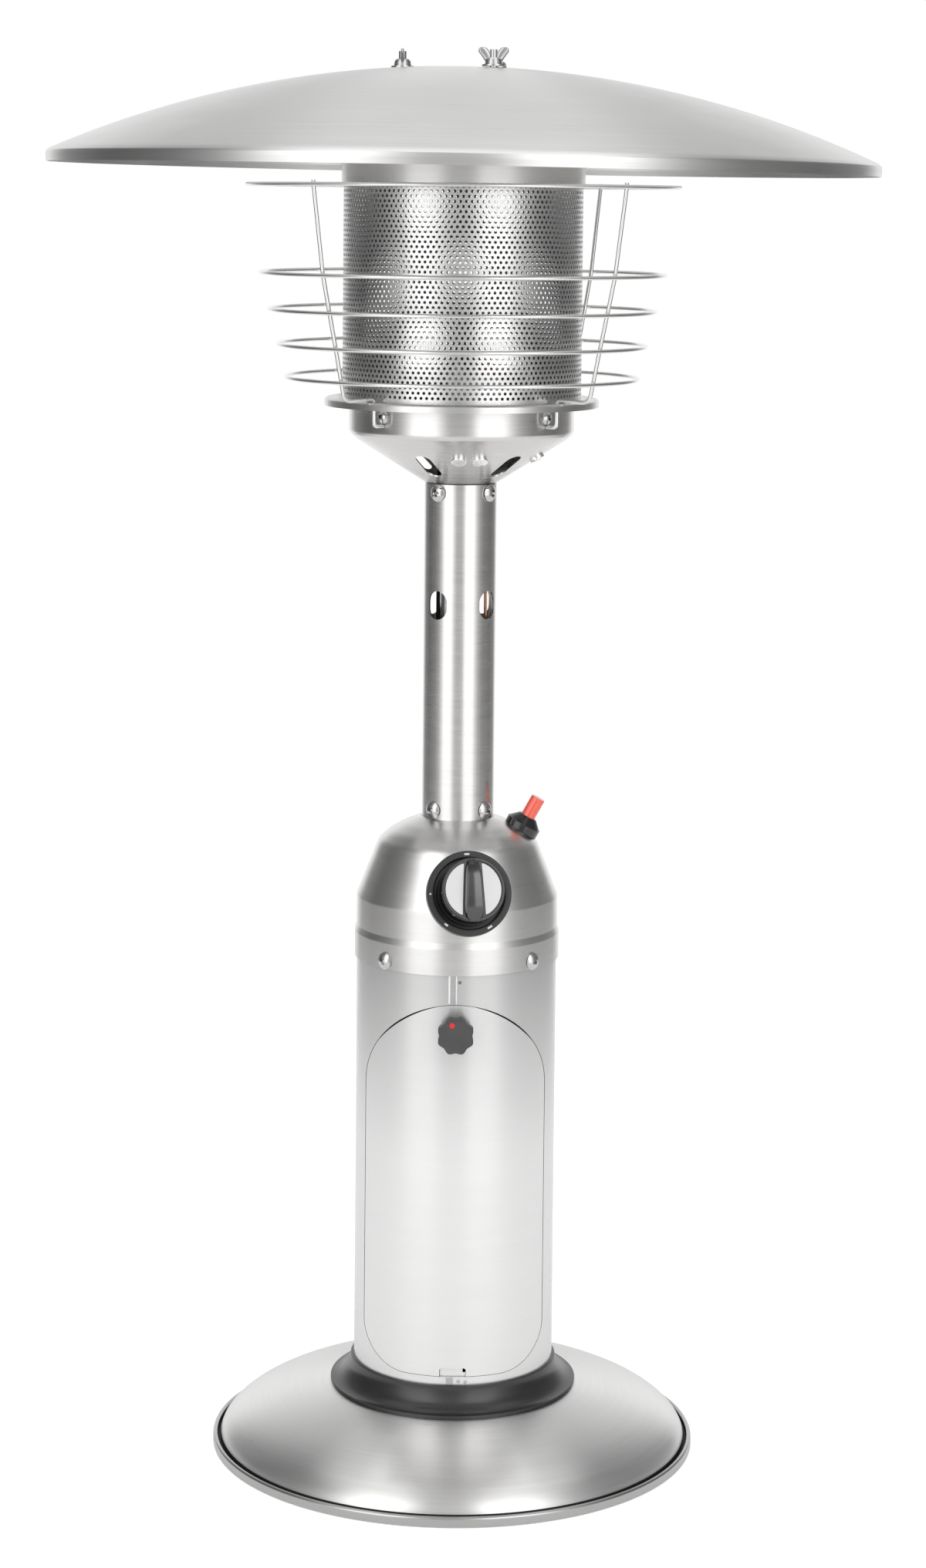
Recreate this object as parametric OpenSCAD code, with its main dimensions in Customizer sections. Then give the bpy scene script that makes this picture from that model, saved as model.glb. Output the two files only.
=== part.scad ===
// Tabletop propane patio heater, in millimetres.
// +Z is up, the front with the door and the knob faces -Y, and the origin is on the table under the centre.

/* [Base] */
// Outer diameter of the base pan over its rolled rim
pan_d = 313.4; // [260:0.1:380]
// Height of the pan's rolled rim above the table
pan_rim_top = 7; // [6:0.1:12]
// Width of the rolled rim
rim_w = 3.3; // [2.5:0.1:5]
// Height of the rubber pads, and so of the pan's floor, above the table
pad_h = 2.8; // [2.5:0.1:4]
// Diameter of a rubber pad
pad_d = 18; // [10:1:30]
// Slit between the base cover and the pan's rim
cover_slit = 1.5; // [0.5:0.1:4]
// Height of the base cover above the pan's floor
cover_rise = 38; // [30:0.5:55]
// Diameter of the cover's flat top
cover_flat_d = 120; // [104:1:124]
// Diameter of the cast weight's disc
weight_d = 220; // [140:1:240]
// Thickness of the cast weight's disc
weight_disc_h = 12; // [6:0.5:18]
// Diameter of the cast weight's hub
weight_hub_d = 112; // [104:1:118]
// How far the black collar's lip stands out from the housing
collar_flare = 15.1; // [10:0.1:25]
// Height of the collar
collar_h = 15.5; // [12:0.5:22]
// Diameter of the circle that the four base screws stand on
base_screw_circle_d = 90; // [70:1:96]

/* [Tank housing] */
// Outer diameter of the tank housing
housing_d = 129.8; // [126:0.1:140]
// Height of the housing tube
housing_h = 294; // [285:1:320]
// Height of the door's lower edge above the housing's foot
door_sill = 20.5; // [18:0.5:26]
// Width of the door opening, measured straight across
door_w = 115.4; // [100:0.2:118]
// Height of housing wall above the crown of the door's arch
door_head = 33; // [31.5:0.5:48]
// Corner radius at the foot of the door
door_corner_r = 27; // [12:1:34]
// Slit round the door
door_slit = 0.7; // [0.5:0.1:1.2]
// Width of the bent tab at the door's foot
tab_w = 15; // [10:0.5:24]
// Diameter of the latch knob over its lobes
latch_d = 23; // [18:0.5:26]
// Distance of the latch below the crown of the door's arch
latch_drop = 17; // [14:0.5:22]

/* [Head] */
// How far the head dome's skirt stands out from the housing
skirt_step = 1.5; // [0.9:0.1:5]
// Height of the head dome
dome_h = 91.1; // [85:0.1:100]
// Overlap of the dome's skirt over the housing
skirt_lap = 14.1; // [12:0.1:15]
// Azimuth of the control knob from the front, towards +X
knob_azimuth = 7.2; // [0:0.1:15]
// Height of the knob's centre above the skirt's edge
knob_rise = 51.6; // [49:0.1:54]
// Upward tilt of the knob's axis
knob_tilt = 18; // [14:0.5:22]
// Outer diameter of the dial ring
bezel_d = 54; // [52:0.1:58]
// Inner diameter of the dial ring
bezel_bore_d = 45; // [44:0.1:47]
// Diameter of the control knob's rim
knob_d = 40; // [36:0.5:41]
// Diameter of the knob's bright plates
insert_d = 35.5; // [30:0.5:36]
// How far the knob pushes in
knob_travel = 3; // [1:0.1:3.5]
// Distance of the igniter from the centre line, as a share of the housing's radius
igniter_share = 0.638; // [0.62:0.002:0.69]
// Tilt of the igniter's axis away from vertical
igniter_tilt = 29; // [25:0.5:33]
// Diameter of the igniter's black boss
igniter_d = 23; // [20:0.5:26]
// Diameter of the igniter's button
button_d = 9.3; // [7:0.1:11]
// Length of button that shows
button_out = 13.5; // [8:0.5:20]
// How far the button pushes in
button_travel = 6; // [2:0.5:8]

/* [Post] */
// Outer diameter of the post
post_d = 46.6; // [45:0.1:56]
// Length of post that shows between the dome and the burner
post_h = 217; // [180:1:300]
// Height of the air slots' centre above the dome
slot_rise = 139; // [110:1:170]
// Width of an air slot
slot_w = 14.5; // [8:0.5:18]
// Height of an air slot
slot_h = 18.5; // [18:0.5:30]

/* [Burner] */
// Diameter of the burner bowl
bowl_d = 145.2; // [140:0.2:150]
// Height of the bowl's cone
cone_h = 31.3; // [26:0.1:40]
// Height of the bowl's straight wall
bowl_wall_h = 22.2; // [20:0.1:30]
// Outer diameter of the emitter flange
flange_d = 177; // [174:0.5:190]
// Height of the flange's down-turned lip
flange_lip_h = 5; // [4:0.1:8]
// Outer diameter of the perforated emitter screen
screen_d = 154; // [150:0.5:156]
// Height of the emitter screen
screen_h = 164; // [150:0.5:180]
// Outer diameter of the emitter cap's band
cap_d = 156.6; // [155.6:0.1:162]
// Height of the emitter cap's band
cap_h = 27; // [16:0.5:40]

/* [Reflector] */
// Outer diameter of the reflector, 21 inches
reflector_d = 533.4; // [420:0.1:620]
// Radius of the reflector's sphere
reflector_sphere_r = 640; // [560:5:900]
// Height of the reflector's lip
reflector_lip_h = 7.5; // [5:0.5:12]
// Clear height between the emitter cap and the reflector's crown
reflector_clear = 46.5; // [40:0.5:70]
// Diameter of the circle that the three studs stand on
stud_circle_d = 80; // [60:1:100]
// Azimuth of the first stud
stud_azimuth = 27; // [0:1:119]
// Diameter of the studs
stud_d = 5; // [4:0.5:6]

/* [Guard] */
// Diameter of the guard's wire
wire_d = 2.5; // [2:0.1:3]
// Mean diameter of the guard's widest ring
guard_top_d = 278; // [262:1:310]
// Mean diameter of the guard's narrowest ring
guard_bottom_d = 226.8; // [216:0.2:240]
// Height of the widest ring above the flange
guard_top_rise = 136.3; // [120:0.1:150]
// Height of the narrowest ring above the flange
guard_bottom_rise = 13; // [11:0.5:16]
// Azimuth of the guard's first upright and the bowl's first screw
guard_azimuth = 47.5; // [30:0.5:60]

/* [Sheet and clearances] */
// Thickness of the stainless sheet
sheet = 0.8; // [0.6:0.1:1]
// Thickness of the pressed base and floor plates
plate = 1.2; // [1:0.1:1.5]
// Gap between pieces that are fastened together
seat_gap = 0.1; // [0.05:0.05:0.2]
// Radial clearance of a turning or sliding fit
fit_gap = 0.05; // [0.02:0.01:0.1]

/* [Hidden] */
$fn = 72;
// Overrun of a cut past the face that it opens
over = 1;
// Half turn, quarter turn and full turn
half = 180;
quarter = 90;
full = 360;

// Base, from the table up
pan_r = pan_d / 2;
pan_floor_z = pad_h + plate;
pan_rim_lift = 0.4;
cover_r = pan_r - rim_w - cover_slit;
cover_sheet = 1;
cover_flat_r = cover_flat_d / 2;
cover_top_z = pan_floor_z + cover_rise;
// Exponent of the cover's swept curve: 2 would be an ellipse
cover_power = 1.45;
cover_steps = 20;
collar_steps = 6;
collar_lip_h = 2.5;
collar_top_wall = 2;
pad_circle_share = 0.83;
base_screw_d = 5;
base_screw_hole_d = 5.6;
base_screw_head_d = 10;
base_screw_head_h = 2.2;
base_nut_h = 4;

// Housing
housing_r = housing_d / 2;
housing_z = cover_top_z;
housing_top_z = housing_z + housing_h;
collar_in_r = housing_r + seat_gap;
collar_r = housing_r + collar_flare;
collar_lip_z = cover_z(collar_r, 0) + collar_lip_h;
floor_flange_h = 8;
door_z = housing_z + door_sill;
door_h = housing_h - door_sill - door_head;
door_arch_r = door_w / 2;
door_arch_z = door_z + door_h - door_arch_r;
tab_sheet = 0.8;
tab_reach = 10;
tab_step_h = 3;
tab_lift = 1.6;
seam_w = 4.5;
seam_sheet = 0.5;
seam_x = -2;

// Latch
latch_z = door_z + door_h - latch_drop;
latch_lobes = 8;
latch_lobe_r = 2.4;
latch_h = 10;
latch_neck_h = 4.7;
latch_neck_d = 12;
latch_gap = 0.4;
latch_face = latch_gap + latch_neck_h + latch_h;
latch_shaft_d = 8;
latch_marker_d = 3.8;
latch_marker_h = 0.6;
latch_marker_r = 7.7;
latch_marker_turn = 17;
tongue_w = 10;
tongue_sheet = 2;
// Distance of the tongue's outer face behind the door's outer face at the centre
tongue_depth = 6.6;
tongue_over = 8;
strike_w = 16;
strike_h = 6;
strike_lift = 3;

// Dome
skirt_r = housing_r + skirt_step;
skirt_z = housing_top_z - skirt_lap;
dome_top_z = skirt_z + dome_h;
post_r = post_d / 2;
// Height as a share of the dome's height, and radius as a share of the way from the post to the skirt
dome_shares = [[0, 1], [0.177, 1], [0.232, 0.9745], [0.396, 0.9745], [0.44, 0.969], [0.506, 0.911],
    [0.616, 0.823], [0.726, 0.729], [0.78, 0.698], [0.82, 0.66], [0.85, 0.6], [0.896, 0.477],
    [0.951, 0.267], [1, 0.004]];
dome_profile = [for (s = dome_shares) [post_r + s[1] * (skirt_r - post_r), skirt_z + s[0] * dome_h]];
dome_by_height = [for (p = dome_profile) [p[1], p[0]]];
skirt_screw_rise = 5.3;
skirt_screw_azimuth = 46.8;
screw_d = 4;
screw_hole_d = 4.4;
screw_head_d = 11;
screw_head_h = 3.2;
recess_w_share = 0.14;
recess_l_share = 0.55;
screw_edge_share = 0.3;
valve_plate_drop = 20;
valve_plate_z = housing_top_z - valve_plate_drop;
valve_plate_flange_h = 17;

// Knob, along its own axis from the dome's surface: outwards is positive
knob_z = skirt_z + knob_rise;
knob_seat_r = lookup(knob_z, dome_by_height);
bezel_face = 2.2;
bezel_skirt = 8;
bezel_tube_wall = 0.9;
knob_back = -1;
bezel_floor_play = 1;
bezel_floor = knob_back - knob_travel - bezel_floor_play;
bezel_floor_sheet = 1.5;
knob_face = 23;
knob_grip_top = 31.5;
knob_grip_l = 40;
knob_grip_narrow = 9.8;
knob_grip_wide = 14;
knob_hub_d = 10;
knob_wall = 2.2;
insert_sheet = 0.6;
insert_gap = 0.4;
insert_slot_narrow = knob_grip_narrow / 2 + insert_gap;
insert_slot_wide = knob_grip_wide / 2 + insert_gap;
stem_d = 6;
stem_flat = 2.2;
stem_in_knob = 3;
stem_end = -32;
nose_d = 14;
nose_l = 14;
valve_back = -49;
valve_d = 26;
plug_d = 16;
plug_front = -26;
plug_back = -44.5;
plug_bore_play = 3;
plug_bore_end = stem_end - knob_travel - plug_bore_play;
plug_port_d = 4;
plug_port_w = -41;
plug_end_gap = 0.2;

// Gas line, in the knob's azimuth plane
outlet_r = 20.6;
outlet_d = 12;
side_outlet_d = 7;
side_outlet_x = 8;
outlet_rise = 6.5;
outlet_top_z = knob_z + outlet_rise;
outlet_axis_z = knob_z - (knob_seat_r - outlet_r) * tan(knob_tilt);
gas_d = 8;
regulator_d = 66;
regulator_h = 24;
regulator_drop = 38;
regulator_z = valve_plate_z - regulator_drop;
regulator_shoulder_h = 5;
regulator_rib_h = 4;
regulator_column_d = 20;
regulator_stud_d = 12;
regulator_nut_d = 19;
regulator_nut_h = 6;
inlet_d = 34;
inlet_h = 26;
inlet_thread_r = 12.7;
inlet_depth = 12;
inlet_pin_d = 3;
inlet_port_d = 6;
seal_d = 16;
seal_wire_d = 2.6;
seal_z = regulator_z - inlet_h + inlet_depth;
feed_r = 26.3;
feed_boss_d = 14;
feed_boss_rise = 20;
feed_boss_z = valve_plate_z + feed_boss_rise;
feed_axis_z = knob_z - (knob_seat_r - feed_r) * tan(knob_tilt);
feed_socket = 6;
feed_hole_play = 2;

// Igniter, along its own axis from the dome's surface
igniter_r = igniter_share * housing_d / 2;
igniter_z = lookup(igniter_r, dome_profile);
igniter_disc_h = 4.5;
igniter_cone_h = 4.5;
igniter_cone_d = 11.6;
igniter_neck_d = 15;
igniter_neck_l = 12;
igniter_case_d = 18;
igniter_case_l = 34;
igniter_nut_d = 21;
igniter_nut_h = 3.5;
igniter_nut_gap = 2.4;
button_in = 20;
button_play = 6;
button_bore_l = button_in + button_travel + button_play;
tilt_switch_size = [18, 14, 26];
tilt_switch_x = -43;
tilt_switch_y = 15;

// Post
post_sheet = 1;
post_z = dome_top_z;
post_top_z = post_z + post_h;
post_sink = 9;
slot_azimuth = 51;
lower_screw_rise = 6;
lower_screw_azimuth = 47.4;
upper_screw_drop = 5.5;
upper_screw_azimuth = 52;
socket_r = post_r - post_sheet - seat_gap;
socket_wall = 1.5;
socket_below = 15;
socket_above = 15;
socket_flange_r = 30;
socket_flange_sheet = 1.5;
socket_drop = 1;

// Burner
bowl_r = bowl_d / 2;
bowl_lift = 0.5;
bowl_z = post_top_z + bowl_lift;
cone_top_z = bowl_z + cone_h;
cone_tilt = atan(cone_h / (bowl_r - post_r));
flange_seat_z = cone_top_z + bowl_wall_h;
bowl_neck_l = 18;
bowl_corner = 2.5;
cone_slot_w = 10.5;
cone_slot_in_r = 31.5;
cone_slot_out_r = 54.5;
cone_slot_azimuths = [-28.5, 41.5, 151.5, 221.5];
cone_screw_r = 50.8;
cone_screw_azimuths = [-1.6, 13.6, 72];
cone_screw_d = 10;
cone_screw_h = 2;
cone_screw_slot = 1.2;
cone_screw_play = 0.2;
bowl_screw_d = 9;
bowl_screw_drop = 8.5;
guard_hook_drop = 5.9;
hook_z = flange_seat_z - bowl_screw_drop - guard_hook_drop;
flange_sheet = 1;
flange_z = flange_seat_z + flange_sheet;
flange_r = flange_d / 2;
flange_bore_r = 43;
flange_round = 2.5;
screen_r = screen_d / 2;
screen_sheet = 0.6;
cap_r = cap_d / 2;
cap_top_z = flange_z + screen_h + plate;
mixing_r = 12;
mixing_wall = 1.2;
mixing_l = 86;
head_r = 42;
head_h = 16;
mixing_z = flange_z - mixing_l + head_h / 2;
head_rim_r = 48;
head_ports = 24;
head_port_w = 2.5;
head_port_in_r = 20;
orifice_l = 20;
orifice_tip_d = 6;
orifice_hex_d = 13;
orifice_hex_h = 8;
pilot_r = 58;
pilot_pitch = 10;
bracket_size = [34, 9, 1.5];
bracket_wall_h = 16;
pilot_d = 4;
thermocouple_d = 2;
thermocouple_tip_d = 4;
lead_d = 2.6;
electrode_d = 6;
electrode_h = 22;
electrode_tip_d = 2;
electrode_tip_h = 10;
probe_h = 26;

// Routes of the lines inside the post, in the knob's azimuth plane
lead_turn_rise = 3;
lead_turn_z = outlet_top_z + lead_turn_rise;
lead_gather_rise = 17;
lead_gather_z = outlet_top_z + lead_gather_rise;
gas_gather_rise = 32;
gas_gather_z = outlet_top_z + gas_gather_rise;
lead_fan_drop = 20;
lead_fan_z = cone_top_z - lead_fan_drop;
lead_rise_drop = 12;
lead_rise_z = flange_z - lead_rise_drop;
pilot_lead_xy = [-10, -11];
thermo_lead_xy = [15.5, -9.5];
spark_lead_xy = [-13, 9];
spark_fan_xy = [-32, -15];
line_bend = 6;
line_bend_steps = 4;
// Direction that the igniter lead never follows
lead_side = [0.6, 0.8, 0];

// Reflector and its fastening
reflector_r = reflector_d / 2;
reflector_crown_z = cap_top_z + reflector_clear + sheet;
sphere_z = reflector_crown_z - reflector_sphere_r;
reflector_edge_z = sphere_z + sqrt(pow(reflector_sphere_r, 2) - pow(reflector_r, 2));
reflector_steps = 14;
stud_r = stud_circle_d / 2;
stud_hole_play = 0.6;
stud_hole_d = stud_d + stud_hole_play;
stud_nut_d = 9.2;
stud_nut_h = 4;
stud_out = 10.5;
spacer_d = 10;
washer_d = 15;
washer_h = 1;
wing_hub_d = 11.3;
wing_hub_h = 4.5;
wing_span = 23;
wing_h = 12;
wing_sheet = 2;
wing_tip_r = 3.4;
wing_turn = [-27, -57, 3];
washer_z = sphere_line_z(stud_r - washer_d / 2) + seat_gap;
stud_top_z = washer_z + stud_out;
wing_z = washer_z + washer_h + seat_gap;

// Guard
weld_gap = 0.1;
wire_r = wire_d / 2;
// Height and mean radius of each ring as shares of the way from the narrowest to the widest
guard_ring_shares = [[1, 1], [0.543, 0.652], [0.353, 0.426], [0.17, 0.199], [0, 0]];
guard_foot_r = 81.4;
guard_foot_lift = 0.2;
guard_hook_in = 3;
guard_bend = 5;
guard_bend_steps = 6;
upright_in = wire_d + weld_gap;
upright_foot_z = flange_z + guard_foot_lift + wire_r;
upright_slope = (guard_ring_r(3) - guard_ring_r(4)) / (guard_ring_z(3) - guard_ring_z(4));
upright_foot_r = guard_ring_r(4) - upright_in - (guard_ring_z(4) - upright_foot_z) * upright_slope;
wire_hole_play = 0.4;
wire_hole_d = wire_d + wire_hole_play;
wire_sides = 12;
line_sides = 8;

// Helper functions
function unit(v) = v / norm(v);
function ahead(p, i) = unit(p[min(i + 1, len(p) - 1)] - p[max(i - 1, 0)]);
// Inner line of a sheet whose outer line is p: each point moves to the left of the line's course
function inset(p, t) = [for (i = [0:len(p) - 1]) let (d = ahead(p, i)) p[i] + t * [-d[1], d[0]]];
// A closed outline of sheet thickness t along the line p
function shell(p, t) = concat(p, [for (i = [len(p) - 1:-1:0]) inset(p, t)[i]]);
function flip(p) = [for (i = [len(p) - 1:-1:0]) p[i]];
// A bend of n steps at point b of a route that comes from a and goes to c
function bend(a, b, c, cut, n) =
    let (s = b + unit(a - b) * min(cut, norm(a - b) / 2), e = b + unit(c - b) * min(cut, norm(c - b) / 2))
    [for (i = [0:n]) let (u = i / n) (1 - u) * (1 - u) * s + 2 * u * (1 - u) * b + u * u * e];
function rounded(p, cut, n) = concat([p[0]],
    [for (i = [1:len(p) - 2]) each bend(p[i - 1], p[i], p[i + 1], cut, n)], [p[len(p) - 1]]);
function ring_point(c, t, side, r, a) =
    let (u = unit(cross(t, side)), v = cross(t, u)) c + r * cos(a) * u + r * sin(a) * v;
function cover_z(r, drop) =
    let (u = max(0, (r - cover_flat_r) / (cover_r - drop - cover_flat_r)))
    pan_floor_z + (cover_rise - drop) * sqrt(max(0, 1 - pow(u, cover_power)));
function cover_line(drop) = [for (i = [0:cover_steps])
    let (u = pow(sin(quarter * i / cover_steps), 2 / cover_power),
         r = cover_flat_r + u * (cover_r - drop - cover_flat_r))
    [r, pan_floor_z + (cover_rise - drop) * cos(quarter * i / cover_steps)]];
function sphere_line_z(r) = sphere_z + sqrt(pow(reflector_sphere_r, 2) - pow(r, 2));
function under_reflector_z(r) = sphere_line_z(r) - 2 * sheet + sheet * sphere_line_z(r) / (sphere_line_z(0));
function guard_ring_r(i) = (guard_bottom_d + guard_ring_shares[i][1] * (guard_top_d - guard_bottom_d)) / 2;
function guard_ring_z(i) = flange_z + guard_bottom_rise
    + guard_ring_shares[i][0] * (guard_top_rise - guard_bottom_rise);
function along_knob(w) = [0, -(knob_seat_r + w * cos(knob_tilt)), knob_z + w * sin(knob_tilt)];
function along_igniter(w) = [igniter_r + w * sin(igniter_tilt), 0, igniter_z + w * cos(igniter_tilt)];
function turned(p, a) = [p[0] * cos(a) - p[1] * sin(a), p[0] * sin(a) + p[1] * cos(a), p[2]];

// Helper modules
module at_azimuth(a) rotate([0, 0, a]) children();
// Puts children on a radial axis at azimuth a, height z and radius r, with their +Z outwards
module outward(a, r, z) at_azimuth(a) translate([0, -r, z]) rotate([quarter, 0, 0]) children();
module four(a) for (i = [0:3]) at_azimuth(a + i * quarter) children();
module at_knob() at_azimuth(knob_azimuth) translate([0, -knob_seat_r, knob_z])
    rotate([quarter - knob_tilt, 0, 0]) children();
module at_igniter() at_azimuth(quarter) translate([0, -igniter_r, igniter_z]) rotate([igniter_tilt, 0, 0])
    children();
module rod(d, from, to) translate([0, 0, from]) cylinder(d = d, h = to - from);
module tube(d, bore, from, to) difference() {
    rod(d, from, to);
    rod(bore, from - over, to + over);
}
module spun(p) rotate_extrude() polygon(p);
module hex(d, from, to) translate([0, 0, from]) cylinder(d = d, h = to - from, $fn = 6);
// A round tube swept along a route; side is a direction that the route never follows
module line(p, d, sides, side) {
    n = len(p);
    points = [for (i = [0:n - 1]) for (k = [0:sides - 1])
        ring_point(p[i], ahead(p, i), side, d / 2, full * k / sides)];
    walls = [for (i = [0:n - 2]) for (k = [0:sides - 1]) let (j = (k + 1) % sides)
        each [[i * sides + k, (i + 1) * sides + k, (i + 1) * sides + j],
              [i * sides + k, (i + 1) * sides + j, i * sides + j]]];
    ends = [for (k = [1:sides - 2])
        each [[0, k, k + 1], [(n - 1) * sides, (n - 1) * sides + k + 1, (n - 1) * sides + k]]];
    polyhedron(points, concat(walls, ends));
}
// A domed screw with a cross recess: its head stands on z = 0 and its shank goes down
module domed_screw(head_d, head_h, shank_d, shank_l) {
    recess_w = head_d * recess_w_share;
    recess_l = head_d * recess_l_share;
    edge_h = head_h * screw_edge_share;
    dome_r = (pow(head_d / 2, 2) + pow(head_h - edge_h, 2)) / (2 * (head_h - edge_h));
    difference() {
        union() {
            intersection() {
                rod(head_d, 0, head_h);
                translate([0, 0, head_h - dome_r]) sphere(dome_r);
            }
            rod(shank_d, -shank_l, head_h / 2);
        }
        for (a = [0, quarter]) rotate([0, 0, a])
            translate([-recess_l / 2, -recess_w / 2, head_h / 2]) cube([recess_l, recess_w, head_h]);
    }
}
// The door's outline, or with gap 0 its opening, drawn in X and Z
module arch(gap) translate([0, door_z + gap]) {
    w = door_w - 2 * gap;
    r = door_corner_r - gap;
    rise = door_arch_z - door_z - gap;
    translate([-w / 2, r]) square([w, rise - r]);
    translate([r - w / 2, 0]) square([w - 2 * r, rise]);
    for (x = [r - w / 2, w / 2 - r]) translate([x, r]) circle(r);
    translate([0, rise]) circle(w / 2);
}
module through_front(depth) rotate([quarter, 0, 0]) linear_extrude(depth) children();

// Base
module base_pan() color("lightsteelblue") difference() {
    rotate_extrude() {
        translate([0, pad_h]) square([pan_r - rim_w / 2, plate]);
        translate([pan_r - rim_w, pan_rim_lift]) square([rim_w, pan_rim_top - pan_rim_lift - rim_w / 2]);
        translate([pan_r - rim_w / 2, pan_rim_top - rim_w / 2]) circle(rim_w / 2);
    }
    base_screw_holes(0, pan_floor_z + over);
}
module base_screw_holes(from, to) four(quarter / 2) translate([0, -base_screw_circle_d / 2, 0])
    rod(base_screw_hole_d, from, to);
module base_pads() color("dimgray") four(0) translate([0, -pad_circle_share * pan_r, 0]) rod(pad_d, 0, pad_h);
module base_weight() color("gray") difference() {
    union() {
        rod(weight_d, pan_floor_z, pan_floor_z + weight_disc_h);
        rod(weight_hub_d, pan_floor_z, cover_top_z - cover_sheet);
    }
    base_screw_holes(pad_h, cover_top_z);
}
module base_cover() color("gainsboro") difference() {
    spun(concat([[0, cover_top_z - cover_sheet], [0, cover_top_z]], cover_line(0),
        flip(cover_line(cover_sheet))));
    base_screw_holes(pad_h, cover_top_z + over);
}
module base_collar() color("dimgray") spun(concat(
    [for (i = [0:collar_steps]) let (r = collar_in_r + i * (collar_r - collar_in_r) / collar_steps)
        [r, cover_z(r, 0) + 2 * seat_gap]],
    [for (i = [collar_steps:-1:0]) let (a = quarter * i / collar_steps)
        [collar_r - (collar_r - housing_r - collar_top_wall) * cos(a),
         cover_top_z + collar_h - (cover_top_z + collar_h - collar_lip_z) * sin(a)]],
    [[collar_in_r, cover_top_z + collar_h]]));
module base_screws() color("silver") four(quarter / 2) translate([0, -base_screw_circle_d / 2, 0]) {
    rod(base_screw_head_d, pad_h - base_screw_head_h, pad_h);
    rod(base_screw_d, pad_h, housing_z + plate + base_nut_h + over);
    hex(2 * base_screw_d, housing_z + plate, housing_z + plate + base_nut_h);
}

// Housing
module tank_housing() color("whitesmoke") {
    difference() {
        tube(housing_d, housing_d - 2 * sheet, housing_z, housing_top_z);
        through_front(housing_d) arch(0);
        skirt_screw_holes();
    }
    intersection() {
        tube(housing_d + 2 * seam_sheet, housing_d - sheet, door_z + door_h + door_slit, skirt_z - seat_gap);
        translate([seam_x - seam_w / 2, -housing_d, 0]) cube([seam_w, housing_d, housing_top_z]);
    }
    intersection() {
        translate([-strike_w / 2, -housing_r + sheet / 2, door_z + door_h + strike_lift])
            cube([strike_w, tongue_depth - sheet / 2 - 3 * seat_gap, strike_h]);
        rod(housing_d - sheet, 0, housing_top_z);
    }
}
module skirt_screw_holes() for (i = [0:3])
    outward(skirt_screw_azimuth + i * quarter, 0, skirt_z + skirt_screw_rise)
        rod(screw_hole_d, housing_r / 2, skirt_r + over);
module housing_floor() color("silver") difference() {
    rod(housing_d - 2 * sheet - 2 * seat_gap, housing_z, housing_z + floor_flange_h);
    rod(housing_d - 4 * sheet - 2 * seat_gap, housing_z + plate, housing_z + floor_flange_h + over);
    base_screw_holes(housing_z - over, housing_z + plate + over);
}
module tank_door() color("whitesmoke") difference() {
    union() {
        intersection() {
            tube(housing_d, housing_d - 2 * sheet, housing_z, housing_top_z);
            through_front(housing_d) arch(door_slit);
        }
        door_tab();
    }
    outward(0, 0, latch_z) rod(latch_shaft_d + 2 * fit_gap, housing_r / 2, housing_d);
}
module door_tab() {
    tab_y = -housing_r + sheet + tab_lift - tab_sheet / 2;
    step_z = door_z + door_slit + tab_lift / 2;
    intersection() {
        translate([-tab_w / 2, -housing_r + sheet / 2, step_z])
            cube([tab_w, tab_y + tab_sheet + housing_r - sheet / 2, tab_step_h]);
        rod(housing_d - sheet / 2, 0, housing_top_z);
    }
    translate([-tab_w / 2, tab_y, door_z - tab_reach]) cube([tab_w, tab_sheet, tab_reach + tab_step_h]);
}
module at_latch() outward(0, housing_r, latch_z) children();
module latch_knob() color("dimgray") at_latch() difference() {
    union() {
        rod(latch_neck_d, latch_gap, latch_gap + latch_neck_h + over);
        translate([0, 0, latch_gap + latch_neck_h]) linear_extrude(latch_h) {
            circle(d = latch_d - 2 * latch_lobe_r);
            for (i = [0:latch_lobes - 1]) rotate([0, 0, i * full / latch_lobes])
                translate([latch_d / 2 - latch_lobe_r, 0]) circle(latch_lobe_r);
        }
    }
    rod(latch_shaft_d, 0, latch_gap + latch_neck_h + latch_h / 2);
}
module latch_marker() color("red") at_latch()
    translate([-latch_marker_r * sin(latch_marker_turn), latch_marker_r * cos(latch_marker_turn), 0])
    rod(latch_marker_d, latch_face, latch_face + latch_marker_h);
module latch_spindle() color("silver") at_latch() {
    rod(latch_shaft_d, -tongue_depth - tongue_sheet - over, latch_gap + latch_neck_h + latch_h / 2);
    translate([-latch_drop - tongue_over, -tongue_w / 2, -tongue_depth - tongue_sheet])
        cube([latch_drop + tongue_over, tongue_w, tongue_sheet]);
    rod(latch_shaft_d + 4 * sheet, -tongue_depth, -tongue_depth + 2 * sheet);
}

// Head
module head_dome() color("gainsboro") difference() {
    spun(shell(dome_profile, sheet));
    skirt_screw_holes();
    at_knob() rod(bezel_bore_d + 2 * bezel_tube_wall + 6 * seat_gap, -bezel_skirt - 2 * sheet, bezel_skirt);
    at_igniter() rod(igniter_neck_d + 6 * seat_gap, -4 * sheet, 4 * sheet);
}
module skirt_screws() color("silver") for (i = [0:3])
    outward(skirt_screw_azimuth + i * quarter, skirt_r, skirt_z + skirt_screw_rise)
    domed_screw(screw_head_d, screw_head_h, screw_d, skirt_r - housing_r + 4 * sheet + screw_d / 2);
module valve_plate() color("silver") difference() {
    rod(housing_d - 2 * sheet - 2 * seat_gap, valve_plate_z, valve_plate_z + valve_plate_flange_h);
    rod(housing_d - 4 * sheet - 2 * seat_gap, valve_plate_z + plate,
        valve_plate_z + valve_plate_flange_h + over);
    skirt_screw_holes();
    rod(regulator_stud_d + 2 * seat_gap, valve_plate_z - over, valve_plate_z + plate + over);
    at_azimuth(knob_azimuth) translate([0, -feed_r, 0])
        rod(gas_d + feed_hole_play, valve_plate_z - over, valve_plate_z + plate + over);
}
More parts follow.
